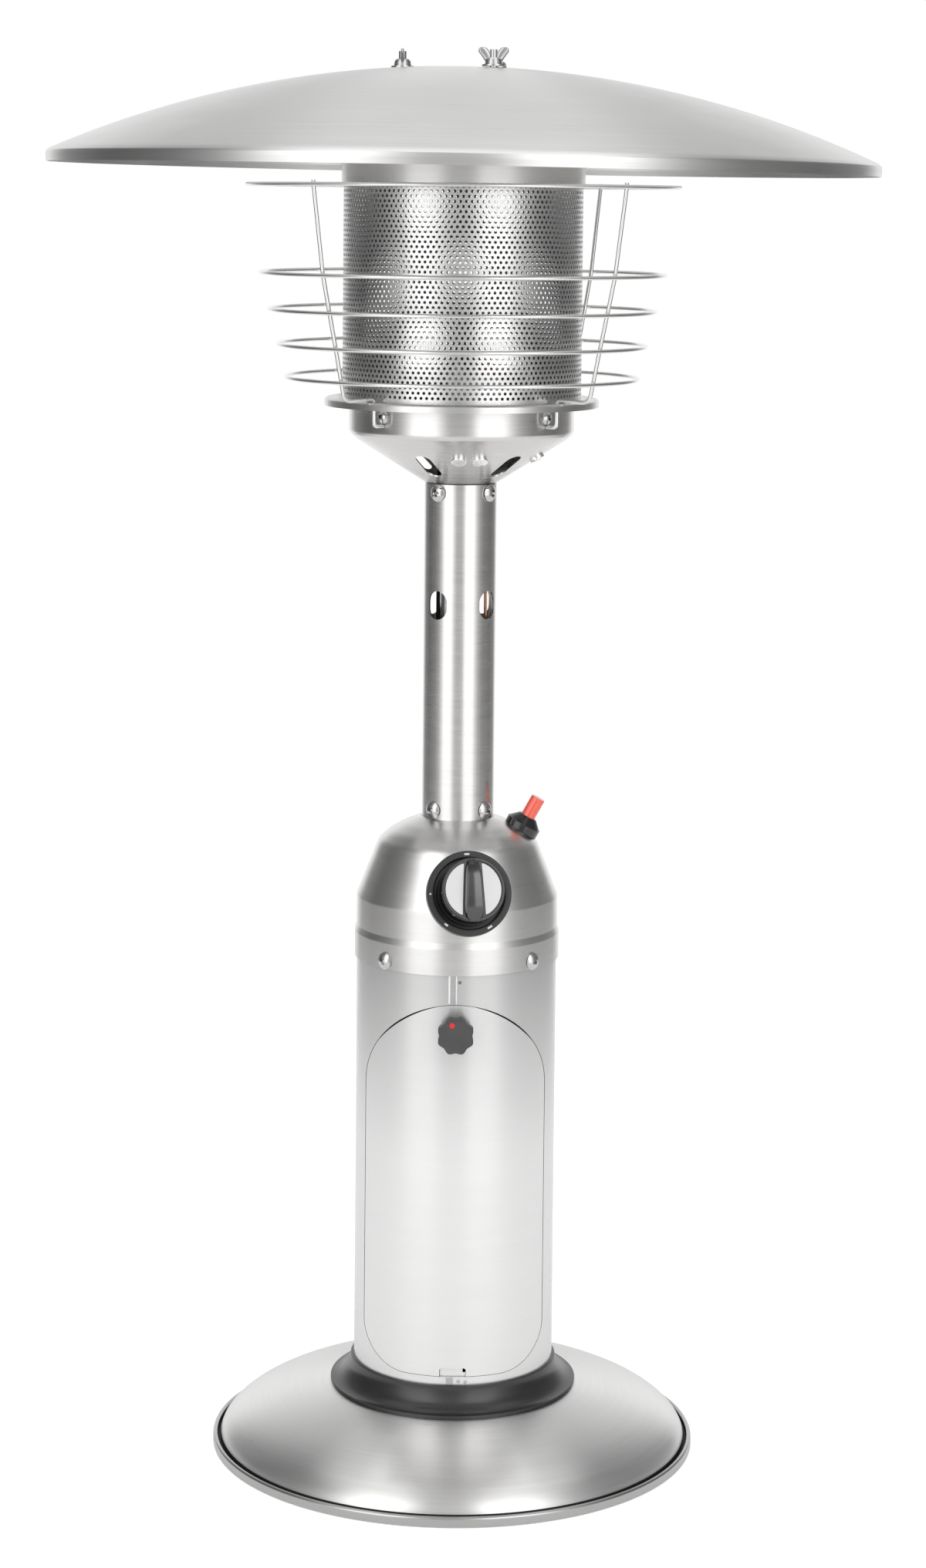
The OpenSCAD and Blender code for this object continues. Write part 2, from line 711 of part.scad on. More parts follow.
module regulator() color("darkgray") {
    top = regulator_z + regulator_h;
    rod(inlet_d + 2 * over, regulator_z, top);
    rod(regulator_d - 2 * regulator_rib_h, regulator_z + regulator_shoulder_h, top);
    rod(regulator_d, top - regulator_shoulder_h - regulator_rib_h, top - regulator_shoulder_h);
    rod(regulator_column_d, top - over, valve_plate_z);
    rod(regulator_stud_d, valve_plate_z - over, valve_plate_z + plate + regulator_nut_h + over);
    hex(regulator_nut_d, valve_plate_z + plate, valve_plate_z + plate + regulator_nut_h);
    at_azimuth(knob_azimuth) translate([0, -feed_r, 0]) rod(gas_d, top - over, feed_boss_z + feed_socket);
}
module inlet_socket() color("goldenrod") {
    difference() {
        hex(inlet_d, regulator_z - inlet_h, regulator_z);
        rod(2 * inlet_thread_r, regulator_z - inlet_h - over, regulator_z - inlet_h + inlet_depth);
        rod(seal_d + seal_wire_d + 2 * seat_gap, regulator_z - inlet_h, seal_z + seal_wire_d);
        rod(inlet_port_d, regulator_z - inlet_h, regulator_z - seal_wire_d);
    }
    rod(inlet_pin_d, seal_z, regulator_z - over);
}
module inlet_seal() color("dimgray") translate([0, 0, seal_z + seal_wire_d / 2])
    rotate_extrude() translate([seal_d / 2, 0]) circle((seal_wire_d - seat_gap) / 2);
module valve_body() color("goldenrod") difference() {
    union() {
        at_knob() {
            rod(nose_d, bezel_floor - bezel_floor_sheet - nose_l, bezel_floor - bezel_floor_sheet);
            rod(valve_d, valve_back, bezel_floor - bezel_floor_sheet - nose_l + over);
        }
        at_azimuth(knob_azimuth) {
            translate([0, -feed_r, 0]) rod(feed_boss_d, feed_boss_z, feed_axis_z);
            translate([0, -outlet_r, 0]) rod(outlet_d, outlet_axis_z, outlet_top_z);
            for (x = [-side_outlet_x, side_outlet_x]) translate([x, -outlet_r, 0])
                rod(side_outlet_d, outlet_axis_z, outlet_top_z);
        }
    }
    at_knob() {
        rod(stem_d + 2 * fit_gap, plug_front - over, over);
        rod(plug_d + 2 * fit_gap, plug_back - plug_end_gap, plug_front + plug_end_gap);
    }
    at_azimuth(knob_azimuth) {
        translate([0, -feed_r, 0]) {
            rod(gas_d + 2 * fit_gap, feed_boss_z - over, feed_boss_z + feed_socket + seat_gap);
            rod(plug_port_d, feed_boss_z, feed_axis_z);
        }
        translate([0, -outlet_r, 0]) rod(plug_port_d, outlet_axis_z, outlet_top_z + over);
    }
}
module stem_section(d, flat) intersection() {
    circle(d = d);
    translate([-d / 2, -d / 2]) square([d, d / 2 + flat]);
}
module valve_plug() color("goldenrod") at_knob() difference() {
    rod(plug_d, plug_back, plug_front);
    translate([0, 0, plug_bore_end]) linear_extrude(plug_front - plug_bore_end + over)
        stem_section(stem_d + 2 * fit_gap, stem_flat + fit_gap);
    translate([0, 0, plug_port_w]) rotate([quarter, 0, 0]) rod(plug_port_d, -plug_d, plug_d);
}
module valve_stem() color("silver") at_knob() translate([0, 0, stem_end])
    linear_extrude(knob_back + stem_in_knob - stem_end) stem_section(stem_d, stem_flat);
module control_knob() color([0.2, 0.2, 0.2]) at_knob() difference() {
    union() {
        difference() {
            rod(knob_d, knob_back, knob_face);
            tube(knob_d - 2 * knob_wall, knob_hub_d, knob_back - over, knob_face - knob_wall);
        }
        tube(knob_d, insert_d + 2 * insert_gap, knob_face, knob_face + insert_sheet);
        translate([0, 0, knob_face - over]) linear_extrude(knob_grip_top - knob_face + over) intersection() {
            polygon([[-knob_grip_wide / 2, -knob_grip_l / 2], [knob_grip_wide / 2, -knob_grip_l / 2],
                [knob_grip_narrow / 2, knob_grip_l / 2], [-knob_grip_narrow / 2, knob_grip_l / 2]]);
            circle(d = knob_d);
        }
    }
    translate([0, 0, knob_back - over]) linear_extrude(stem_in_knob + over + seat_gap)
        stem_section(stem_d + 2 * fit_gap, stem_flat + fit_gap);
}
module knob_inserts() color("silver") at_knob() translate([0, 0, knob_face]) linear_extrude(insert_sheet)
    difference() {
        circle(d = insert_d);
        polygon([[-insert_slot_wide, -knob_d / 2], [insert_slot_wide, -knob_d / 2],
            [insert_slot_narrow, knob_d / 2], [-insert_slot_narrow, knob_d / 2]]);
    }
module knob_bezel() color([0.25, 0.25, 0.26]) difference() {
    union() {
        difference() {
            at_knob() rod(bezel_d, -bezel_skirt, bezel_face);
            spun(concat([[0, skirt_z], [0, dome_top_z + over]],
                flip([for (p = dome_profile) p + [seat_gap, seat_gap]])));
        }
        at_knob() rod(bezel_bore_d + 2 * bezel_tube_wall, bezel_floor - bezel_floor_sheet, 0);
    }
    at_knob() rod(bezel_bore_d, bezel_floor, bezel_face + over);
    at_knob() rod(stem_d + 8 * seat_gap, bezel_floor - bezel_floor_sheet - over, bezel_floor + over);
}
module igniter_bezel() color([0.2, 0.2, 0.2]) at_igniter() difference() {
    union() {
        rod(igniter_d, 0, igniter_disc_h);
        translate([0, 0, igniter_disc_h])
            cylinder(d1 = igniter_d - 2 * over, d2 = igniter_cone_d, h = igniter_cone_h);
        rod(igniter_neck_d, -igniter_neck_l, over);
        hex(igniter_nut_d, -igniter_nut_gap - igniter_nut_h, -igniter_nut_gap);
    }
    rod(button_d + 2 * fit_gap, -igniter_neck_l - over, igniter_disc_h + igniter_cone_h + over);
}
module igniter_body() color("ivory") at_igniter() difference() {
    rod(igniter_case_d, -igniter_neck_l - igniter_case_l, -igniter_neck_l);
    rod(button_d + 2 * fit_gap, -button_bore_l, -igniter_neck_l + over);
}
module igniter_button() color("tomato") at_igniter()
    rod(button_d, -button_in, igniter_disc_h + igniter_cone_h + button_out);
module tilt_switch() color("dimgray")
    translate([tilt_switch_x, tilt_switch_y, valve_plate_z + plate]) cube(tilt_switch_size);

// Post
module post() color("silver") difference() {
    tube(post_d, post_d - 2 * post_sheet, post_z - post_sink, post_top_z);
    for (i = [0:3]) outward(slot_azimuth + i * quarter, 0, post_z + slot_rise)
        translate([0, 0, post_r / 2]) linear_extrude(post_r) obround(slot_w, slot_h);
    post_screw_holes();
}
module obround(w, h) {
    for (y = [-1, 1]) translate([0, y * (h - w) / 2]) circle(d = w);
    square([w, h - w], center = true);
}
module post_screw_holes() for (i = [0:3]) {
    outward(lower_screw_azimuth + i * quarter, 0, post_z + lower_screw_rise)
        rod(screw_hole_d, post_r / 2, post_d);
    outward(upper_screw_azimuth + i * quarter, 0, post_top_z - upper_screw_drop)
        rod(screw_hole_d, post_r / 2, post_d);
}
module post_socket() color("darkgray") difference() {
    union() {
        tube(2 * socket_r, 2 * (socket_r - socket_wall), post_z - socket_below, post_z + socket_above);
        spun([for (q = [[socket_r - socket_wall, 0], [socket_flange_r, 0],
            [socket_flange_r, 1], [socket_r - socket_wall, 1]])
            [q[0], lookup(q[0], dome_profile) - sheet - post_sink - socket_drop + q[1] * socket_flange_sheet]]);
    }
    post_screw_holes();
}
module post_screws() color("silver") for (i = [0:3]) {
    outward(lower_screw_azimuth + i * quarter, post_r, post_z + lower_screw_rise)
        domed_screw(screw_head_d, screw_head_h, screw_d, post_sheet + socket_wall + over);
    outward(upper_screw_azimuth + i * quarter, post_r, post_top_z - upper_screw_drop)
        domed_screw(screw_head_d, screw_head_h, screw_d, post_sheet + sheet + over);
}
module in_knob_plane() at_azimuth(knob_azimuth) children();
module gas_tube() color("darkgoldenrod") in_knob_plane() line(rounded([[0, -outlet_r, outlet_top_z],
    [0, -outlet_r, lead_turn_z], [0, 0, gas_gather_z], [0, 0, mixing_z - orifice_l / 2]],
    line_bend, line_bend_steps), gas_d, line_sides + 4, [1, 0, 0]);
module gas_orifice() color("gold") {
    hex(orifice_hex_d, mixing_z - orifice_l / 2, mixing_z - orifice_l / 2 + orifice_hex_h);
    rod(orifice_tip_d, mixing_z - orifice_l / 2 + orifice_hex_h - over, mixing_z + orifice_l / 2);
}
module pilot_tube() color("silver") in_knob_plane() line(rounded([[-side_outlet_x, -outlet_r, outlet_top_z],
    [-side_outlet_x, -outlet_r, lead_turn_z], [pilot_lead_xy[0], pilot_lead_xy[1], lead_gather_z],
    [pilot_lead_xy[0], pilot_lead_xy[1], lead_fan_z], [0, -pilot_r, lead_rise_z],
    [0, -pilot_r, flange_z + probe_h]], line_bend, line_bend_steps), pilot_d, line_sides, [1, 0, 0]);
module thermocouple() color("peru") in_knob_plane() {
    line(rounded([[side_outlet_x, -outlet_r, outlet_top_z],
        [side_outlet_x, -outlet_r, lead_turn_z], [thermo_lead_xy[0], thermo_lead_xy[1], lead_gather_z],
        [thermo_lead_xy[0], thermo_lead_xy[1], lead_fan_z], [pilot_pitch, -pilot_r, lead_rise_z],
        [pilot_pitch, -pilot_r, flange_z]], line_bend, line_bend_steps),
        thermocouple_d, line_sides, [1, 0, 0]);
    translate([pilot_pitch, -pilot_r, 0])
        rod(thermocouple_tip_d, flange_z - flange_sheet, flange_z + probe_h);
}
module igniter_lead() color([0.2, 0.2, 0.2]) {
    start = turned(along_igniter(-igniter_neck_l - igniter_case_l), -knob_azimuth);
    low = turned(along_igniter(-igniter_neck_l - igniter_case_l - line_bend), -knob_azimuth);
    in_knob_plane() line(rounded([start, low, [0, spark_lead_xy[1] / 2, low[2] - line_bend],
        [spark_lead_xy[0], spark_lead_xy[1], low[2] + line_bend],
        [spark_lead_xy[0], spark_lead_xy[1], lead_fan_z],
        [spark_fan_xy[0], spark_fan_xy[1], lead_fan_z + line_bend * 2],
        [-pilot_pitch, -pilot_r, lead_rise_z],
        [-pilot_pitch, -pilot_r, flange_z - flange_sheet]], line_bend, line_bend_steps),
        lead_d, line_sides, lead_side);
}

// Burner
bowl_profile = [[socket_r, bowl_z - bowl_neck_l], [socket_r, bowl_z], [post_r + seat_gap, bowl_z],
    [bowl_r - 2 * bowl_corner, cone_top_z - 2 * bowl_corner * cone_h / (bowl_r - post_r)],
    [bowl_r - bowl_corner / 2, cone_top_z], [bowl_r, cone_top_z + bowl_corner], [bowl_r, flange_seat_z]];
module burner_bowl() color("gainsboro") difference() {
    spun(shell(bowl_profile, sheet));
    post_screw_holes();
    for (a = cone_slot_azimuths) at_azimuth(a)
        translate([0, -(cone_slot_in_r + cone_slot_out_r) / 2, bowl_z])
        linear_extrude(cone_h) obround(cone_slot_w, cone_slot_out_r - cone_slot_in_r);
    for (i = [0:3]) outward(guard_azimuth + i * quarter, 0, flange_seat_z - bowl_screw_drop)
        rod(screw_hole_d, bowl_r / 2, flange_r);
    for (i = [0:3]) outward(guard_azimuth + i * quarter, 0, hook_z) rod(wire_hole_d, bowl_r / 2, flange_r);
    for (a = cone_screw_azimuths) at_cone(a) rod(screw_hole_d, -cone_screw_d, cone_screw_d);
}
module at_cone(a) at_azimuth(a)
    translate([0, -cone_screw_r, bowl_z + (cone_screw_r - post_r) * tan(cone_tilt)])
    rotate([half - cone_tilt, 0, 0]) children();
module bowl_screws() color("silver") for (i = [0:3])
    outward(guard_azimuth + i * quarter, bowl_r, flange_seat_z - bowl_screw_drop)
    domed_screw(bowl_screw_d, screw_head_h, screw_d, screw_d + sheet);
module cone_screws() color("silver") for (a = cone_screw_azimuths) at_cone(a) difference() {
    union() {
        rod(cone_screw_d, cone_screw_play, cone_screw_h);
        rod(screw_d, -screw_d - sheet, cone_screw_play + over);
    }
    translate([-cone_screw_d, -cone_screw_slot / 2, cone_screw_h - over])
        cube([2 * cone_screw_d, cone_screw_slot, 2 * over]);
}
flange_profile = [[flange_r, flange_z - flange_lip_h], [flange_r - sheet / 2, flange_z - flange_round],
    [flange_r - flange_round / 2, flange_z - sheet / 2], [flange_r - flange_round, flange_z],
    [flange_bore_r, flange_z]];
module emitter_flange() color("silver") difference() {
    spun(shell(flange_profile, flange_sheet));
    for (i = [0:3]) at_azimuth(guard_azimuth + i * quarter) translate([0, -guard_foot_r, 0])
        rod(wire_hole_d, flange_z - flange_lip_h, flange_z + over);
    at_azimuth(knob_azimuth) for (x = [-pilot_pitch, 0, pilot_pitch]) translate([x, -pilot_r, 0])
        rod(thermocouple_tip_d + 2 * seat_gap, flange_z - flange_lip_h, flange_z + over);
}
module emitter_screen() color("gainsboro")
    tube(screen_d, screen_d - 2 * screen_sheet, flange_z, flange_z + screen_h);
module emitter_cap() color("silver") difference() {
    rod(cap_d, cap_top_z - cap_h, cap_top_z);
    rod(cap_d - 2 * (cap_r - screen_r) + 2 * seat_gap, cap_top_z - cap_h - over, cap_top_z - plate);
    at_studs() rod(stud_hole_d, cap_top_z - cap_h, cap_top_z + over);
}
module mixing_tube() color("silver")
    tube(2 * mixing_r, 2 * (mixing_r - mixing_wall), mixing_z, mixing_z + mixing_l);
module burner_head() color("dimgray") difference() {
    union() {
        rod(2 * head_r, flange_z - flange_sheet, flange_z + head_h);
        rod(2 * head_rim_r, flange_z, flange_z + plate);
    }
    rod(2 * (head_r - plate), flange_z + plate - flange_sheet, flange_z + head_h - plate);
    rod(2 * (mixing_r + seat_gap), flange_z - over - flange_sheet, flange_z + head_h / 2);
    for (i = [0:head_ports - 1]) at_azimuth(i * full / head_ports)
        translate([-head_port_w / 2, -head_r + 3 * plate, flange_z + head_h - 2 * plate])
        cube([head_port_w, head_r - 3 * plate - head_port_in_r, 4 * plate]);
}
module pilot_bracket() color("silver") at_azimuth(knob_azimuth) difference() {
    union() {
        translate([-bracket_size[0] / 2, -pilot_r - bracket_size[1] / 2, flange_z]) cube(bracket_size);
        translate([-bracket_size[0] / 2, -pilot_r - bracket_size[1] / 2, flange_z])
            cube([bracket_size[0], bracket_size[2], bracket_wall_h]);
    }
    for (x = [-pilot_pitch, 0, pilot_pitch]) translate([x, -pilot_r, 0])
        rod(thermocouple_tip_d + 2 * seat_gap, flange_z - over, flange_z + bracket_size[2] + over);
}
module electrode() color("ivory") at_azimuth(knob_azimuth) translate([-pilot_pitch, -pilot_r, 0]) {
    rod(thermocouple_tip_d, flange_z - flange_sheet, flange_z + bracket_size[2] + over);
    rod(electrode_d, flange_z + bracket_size[2], flange_z + electrode_h);
    rod(electrode_tip_d, flange_z + electrode_h - over, flange_z + electrode_h + electrode_tip_h);
}

// Reflector
module at_studs() for (i = [0:2]) at_azimuth(stud_azimuth + i * full / 3)
    translate([0, -stud_r, 0]) children();
module reflector() color("gainsboro") difference() {
    spun(concat(
        [for (i = [0:reflector_steps]) let (r = reflector_r * i / reflector_steps)
            [r, sphere_line_z(r) - (i == reflector_steps ? sheet : 0)]],
        [[reflector_r + sheet / 2, reflector_edge_z - reflector_lip_h / 2],
         [reflector_r, reflector_edge_z - reflector_lip_h],
         [reflector_r - sheet, reflector_edge_z - reflector_lip_h],
         [reflector_r - sheet / 2, reflector_edge_z - reflector_lip_h / 2]],
        [for (i = [reflector_steps:-1:0]) let (r = (reflector_r - sheet) * i / reflector_steps)
            [r, sphere_line_z(r) - sheet - (i == reflector_steps ? sheet : 0)]]));
    at_studs() rod(stud_hole_d, reflector_edge_z, reflector_crown_z + over);
}
module reflector_studs() color("silver") at_studs() {
    rod(stud_d, cap_top_z - plate - stud_nut_h - over, stud_top_z);
    hex(stud_nut_d, cap_top_z - plate - stud_nut_h, cap_top_z - plate);
}
module reflector_spacers() color("silver") at_studs()
    tube(spacer_d, stud_hole_d, cap_top_z, under_reflector_z(stud_r + spacer_d / 2) - seat_gap);
module reflector_washers() color("silver") at_studs()
    tube(washer_d, stud_hole_d, washer_z, washer_z + washer_h);
module wing_nut(i) color("silver") at_azimuth(stud_azimuth + i * full / 3) translate([0, -stud_r, wing_z])
    rotate([0, 0, wing_turn[i]]) difference() {
        union() {
            cylinder(d1 = wing_hub_d, d2 = wing_hub_d - 2 * over, h = wing_hub_h);
            rotate([quarter, 0, 0]) translate([0, 0, -wing_sheet / 2]) linear_extrude(wing_sheet)
                for (side = [0, 1]) mirror([side, 0]) wing_outline();
        }
        rod(stud_d + 2 * fit_gap, -over, wing_h);
    }
module wing_outline() {
    translate([wing_span / 2 - wing_tip_r, wing_h - wing_tip_r]) circle(wing_tip_r);
    polygon([[0, 0], [wing_hub_d / 2, 0], [wing_span / 2, wing_h - wing_tip_r],
        [wing_span / 2 - wing_tip_r, wing_h], [wing_hub_d / 2 - over, wing_hub_h], [0, wing_hub_h]]);
}
module wing_nut_1() wing_nut(0);
module wing_nut_2() wing_nut(1);
module wing_nut_3() wing_nut(2);

// Guard
module guard_ring(i) color("silver") translate([0, 0, guard_ring_z(i)])
    rotate_extrude() translate([guard_ring_r(i), 0]) circle(wire_r);
module guard_ring_1() guard_ring(0);
module guard_ring_2() guard_ring(1);
module guard_ring_3() guard_ring(2);
module guard_ring_4() guard_ring(3);
module guard_ring_5() guard_ring(4);
upright_route = concat(
    [[0, -guard_ring_r(0) + upright_in, guard_ring_z(0) + wire_d]],
    [for (i = [0:4]) [0, -guard_ring_r(i) + upright_in, guard_ring_z(i)]],
    [for (p = bend([0, -guard_ring_r(4) + upright_in, guard_ring_z(4)], [0, -upright_foot_r, upright_foot_z],
        [0, -guard_foot_r, upright_foot_z], guard_bend, guard_bend_steps)) p],
    [for (p = bend([0, -upright_foot_r, upright_foot_z], [0, -guard_foot_r, upright_foot_z],
        [0, -guard_foot_r, hook_z], wire_d, guard_bend_steps)) p],
    [for (p = bend([0, -guard_foot_r, upright_foot_z], [0, -guard_foot_r, hook_z],
        [0, -bowl_r + guard_hook_in, hook_z], wire_d, guard_bend_steps)) p],
    [[0, -bowl_r + guard_hook_in, hook_z]]);
module guard_wires() color("silver") for (i = [0:3]) at_azimuth(guard_azimuth + i * quarter)
    line(upright_route, wire_d, wire_sides, [1, 0, 0]);

base_pan();
base_pads();
base_weight();
base_cover();
base_collar();
base_screws();
tank_housing();
housing_floor();
tank_door();
latch_knob();
latch_marker();
latch_spindle();
head_dome();
skirt_screws();
valve_plate();
regulator();
inlet_socket();
inlet_seal();
valve_body();
valve_plug();
valve_stem();
control_knob();
knob_inserts();
knob_bezel();
igniter_bezel();
igniter_body();
igniter_button();
igniter_lead();
tilt_switch();
post();
post_socket();
post_screws();
gas_tube();
gas_orifice();
pilot_tube();
thermocouple();
burner_bowl();
bowl_screws();
cone_screws();
emitter_flange();
emitter_screen();
emitter_cap();
mixing_tube();
burner_head();
pilot_bracket();
electrode();
reflector();
reflector_studs();
reflector_spacers();
reflector_washers();
wing_nut_1();
wing_nut_2();
wing_nut_3();
guard_ring_1();
guard_ring_2();
guard_ring_3();
guard_ring_4();
guard_ring_5();
guard_wires();
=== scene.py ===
"""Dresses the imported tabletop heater: spun and brushed sheet, wire guard, knob, lights and camera."""
import math

import bmesh
import bpy
import numpy as np
from mathutils import Matrix, Vector


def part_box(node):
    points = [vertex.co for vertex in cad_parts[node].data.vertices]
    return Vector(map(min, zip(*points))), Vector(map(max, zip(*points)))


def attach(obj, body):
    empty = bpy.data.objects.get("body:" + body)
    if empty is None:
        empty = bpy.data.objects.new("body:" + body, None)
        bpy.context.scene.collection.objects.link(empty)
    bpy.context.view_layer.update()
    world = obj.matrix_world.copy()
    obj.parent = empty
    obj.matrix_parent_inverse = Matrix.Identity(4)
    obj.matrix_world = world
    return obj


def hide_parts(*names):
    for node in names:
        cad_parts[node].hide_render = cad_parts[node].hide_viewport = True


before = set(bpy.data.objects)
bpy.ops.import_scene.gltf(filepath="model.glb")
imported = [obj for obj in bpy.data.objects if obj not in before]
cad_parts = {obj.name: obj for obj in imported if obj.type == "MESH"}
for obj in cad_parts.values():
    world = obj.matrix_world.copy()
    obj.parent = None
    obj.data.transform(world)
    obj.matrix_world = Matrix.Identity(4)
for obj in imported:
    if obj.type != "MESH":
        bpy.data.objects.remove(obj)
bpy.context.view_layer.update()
scene = bpy.context.scene
scene.view_settings.view_transform = "Standard"
PI = math.pi
QUARTERS = (0, 90, 180, 270)

# Edges sharper than these angles in degrees stay crisp
CRISP, SMOOTH, ROUND = 30, 40, 60

# Sizes in millimetres, as the CAD model has them, and angles in degrees
MM = 0.001
SHEET, POST_SHEET, FLANGE_SHEET, CAP_SHEET, SCREEN_SHEET = 0.8, 1, 1.0, 1.1, 0.6
PAN_R, RIM_W, RIM_TOP, PAN_FLOOR = 156.7, 3.3, 7.0, 4.0
COVER_R, COVER_TOP, COVER_FLAT_R, COVER_POWER, COVER_SHEET = 151.9, 42.0, 60.0, 1.45, 1
COLLAR_FOOT_R, COLLAR_TOP, COLLAR_LIP = 80.0, 57.5, 2.5
HOUSING_R, HOUSING_Z, HOUSING_TOP = 64.9, 42.0, 336.0
DOOR_Z, DOOR_TOP, DOOR_W, DOOR_CORNER = 62.5, 303.0, 115.4, 27.0
ARCH_Z = DOOR_TOP - DOOR_W / 2
HEAD_SLIT, SIDE_SLIT = 1.0, 0.3
TAB_W, TAB_DEEP, TAB_TOP = 16.8, 1.6, 68.1
SEAM_X, SEAM_W, SEAM_SHEET = -2.0, 4.5, 0.5
LATCH_Z, LATCH_R, LATCH_FOOT, LATCH_FACE, LATCH_EDGE = 286.0, 11.1, 5.1, 15.1, 1.0
LATCH_LOBES, LATCH_WAVE, LATCH_HOLE_R, MARKER_R, MARKER_ANGLE = 8, 0.7, 4.05, 7.7, 17
SKIRT_R, SKIRT_Z, SKIRT_SCREWS_AT, DOME_TOP = 66.4, 321.9, 46.8, 413.0
POST_R, POST_FOOT, POST_TOP, LOWER_SCREWS_AT, UPPER_SCREWS_AT = 23.3, 404.0, 630.0, 47.4, 52
AIR_SLOTS_AT, AIR_SLOT_Z, AIR_SLOT_W, AIR_SLOT_H = 51, 552.0, 14.5, 18.5
BOWL_R, BOWL_Z, CONE_TOP, FLANGE_SEAT = 72.6, 630.5, 661.8, 684.0
BOWL_SLOTS_AT, BOWL_SLOT_R, BOWL_SLOT_W, BOWL_SLOT_H = (-28.5, 41.5, 151.5, 221.5), 43.0, 10.5, 23.0
CONE_SCREWS_AT, CONE_SCREW_R, CONE_HEAD_R, WIRE_HOLE_R = (-1.6, 13.6, 72), 50.8, 5.0, 1.45
SCREW_R, SCREW_H, BOWL_SCREW_R, BOWL_SCREW_H = 5.5, 3.2, 4.5, 3.0
FLANGE_R, FLANGE_Z = 88.5, 685.0
SCREEN_R, SCREEN_TOP, CAP_R, CAP_TOP = 77.0, 849.0, 78.3, 850.2
HOLES_ROUND, HOLE_ROWS, HOLE_R, HOLES_LOW, HOLES_HIGH = 131, 43, 1.02, 688.4, 820.8
REFLECTOR_R, SPHERE_R, CROWN_Z, REFLECTOR_LEAN = 266.7, 640.0, 897.5, 0.6
KNOB_AZIMUTH, KNOB_TILT, KNOB_Z, KNOB_SEAT_R, KNOB_HOLE_R = 7.2, 18.0, 373.5, 60.481, 23.6
BEZEL_R, BEZEL_BORE, BEZEL_TUBE, BEZEL_FACE, BEZEL_FOOT = 27.0, 22.5, 23.4, 2.2, -6.5
KNOB_R, KNOB_FACE, INSERT_R, STEM_R = 20.0, 23.0, 17.75, 3.1
GRIP_L, GRIP_TOP, GRIP_NARROW, GRIP_WIDE = 19.7, 31.5, 9.8, 14.0
IGNITER_R, IGNITER_Z, IGNITER_TILT, IGNITER_HOLE_R = 41.4, 404.89, 29.0, 7.8
BOSS_R, BOSS_BORE, BOSS_TOP, BUTTON_R, BUTTON_TOP = 11.5, 4.72, 9.0, 4.65, 22.5
STUD_R, STUDS_AT, HUB_R, HUB_BORE, HUB_H = 40, 27, 5.65, 2.55, 4.4
GUARD_AZIMUTH, WIRE_R, UPRIGHT_IN = 47.5, 1.25, 2.6
HOOK_Z, DROP_R, HOOK_IN = 669.6, 81.4, BOWL_R - 3
GUARD_RINGS = [(139.0, 821.3), (130.2, 765.0), (124.3, 741.5), (118.5, 719.0), (113.4, 698.0)]


# Mesh helpers

def soften(obj, smooth_angle):
    obj.data.shade_smooth()
    obj.data.set_sharp_from_angle(angle=math.radians(smooth_angle))


def add_mesh(name, verts, faces, smooth_angle=SMOOTH):
    """A piece from points in millimetres, with all faces outwards, shaded smooth with crisp edges."""
    mesh = bpy.data.meshes.new(name)
    mesh.from_pydata([[c * MM for c in v] for v in verts], [], faces)
    mesh.validate()
    obj = bpy.data.objects.new(name, mesh)
    scene.collection.objects.link(obj)
    bm = bmesh.new()
    bm.from_mesh(mesh)
    bmesh.ops.recalc_face_normals(bm, faces=bm.faces)
    bm.to_mesh(mesh)
    bm.free()
    soften(obj, smooth_angle)
    return obj


def join(name, parts):
    """One piece made of several."""
    verts, faces = [], []
    for part in parts:
        base = len(verts)
        verts += [v.co / MM for v in part.data.vertices]
        faces += [[base + i for i in p.vertices] for p in part.data.polygons]
        bpy.data.objects.remove(part)
    return add_mesh(name, verts, faces)


def moved(obj, matrix):
    obj.data.transform(matrix)
    return obj


def place(x, y, z):
    return Matrix.Translation((x * MM, y * MM, z * MM))


def turn(degrees, axis):
    return Matrix.Rotation(math.radians(degrees), 4, axis)


def seat(azimuth, radius, height, tilt=90):
    """Axes at a radius and height on the side of the azimuth; the Z axis is tilted outwards from upright."""
    return turn(azimuth, "Z") @ place(0, -radius, height) @ turn(tilt, "X")


def fillet(points, radius, steps=6):
    """Rounds the inner corners of an open line; radius is one number or one per point."""
    out = [Vector(points[0])]
    for i in range(1, len(points) - 1):
        r = radius[i] if isinstance(radius, (list, tuple)) else radius
        a, b, c = (Vector(points[j]) for j in (i - 1, i, i + 1))
        u, v = a - b, c - b
        angle = u.angle(v)
        if r <= 0 or angle > PI - 0.02:
            out.append(b)
            continue
        reach = min(r / math.tan(angle / 2), 0.48 * u.length, 0.48 * v.length)
        out += curve(b + u.normalized() * reach, b, b + v.normalized() * reach, steps)
    out.append(Vector(points[-1]))
    return out


def curve(start, middle, end, steps):
    """Points of the smooth curve that leaves start and reaches end in the directions of the middle."""
    return [(1 - t) ** 2 * start + 2 * t * (1 - t) * middle + t ** 2 * end
            for t in (k / steps for k in range(steps + 1))]


def bend(a, b, c, reach, steps=8):
    """Points of a smooth bend at b between a and c."""
    a, b, c = Vector(a), Vector(b), Vector(c)
    return curve(b + (a - b).normalized() * min(reach, (a - b).length / 2), b,
                 b + (c - b).normalized() * min(reach, (c - b).length / 2), steps)


def inset(line, thickness):
    """The line moved to its left by a sheet's thickness."""
    out = []
    for i, p in enumerate(line):
        d = (Vector(line[min(i + 1, len(line) - 1)]) - Vector(line[max(i - 1, 0)])).normalized()
        out.append(Vector((p[0] - thickness * d[1], p[1] + thickness * d[0])))
    return out


def sheet(line, thickness=SHEET):
    """Closed outline of a sheet whose outer face follows the line upwards."""
    inner = [Vector((max(p[0], 0), p[1])) for p in inset(line, thickness)]
    return [Vector(p) for p in line] + inner[::-1]


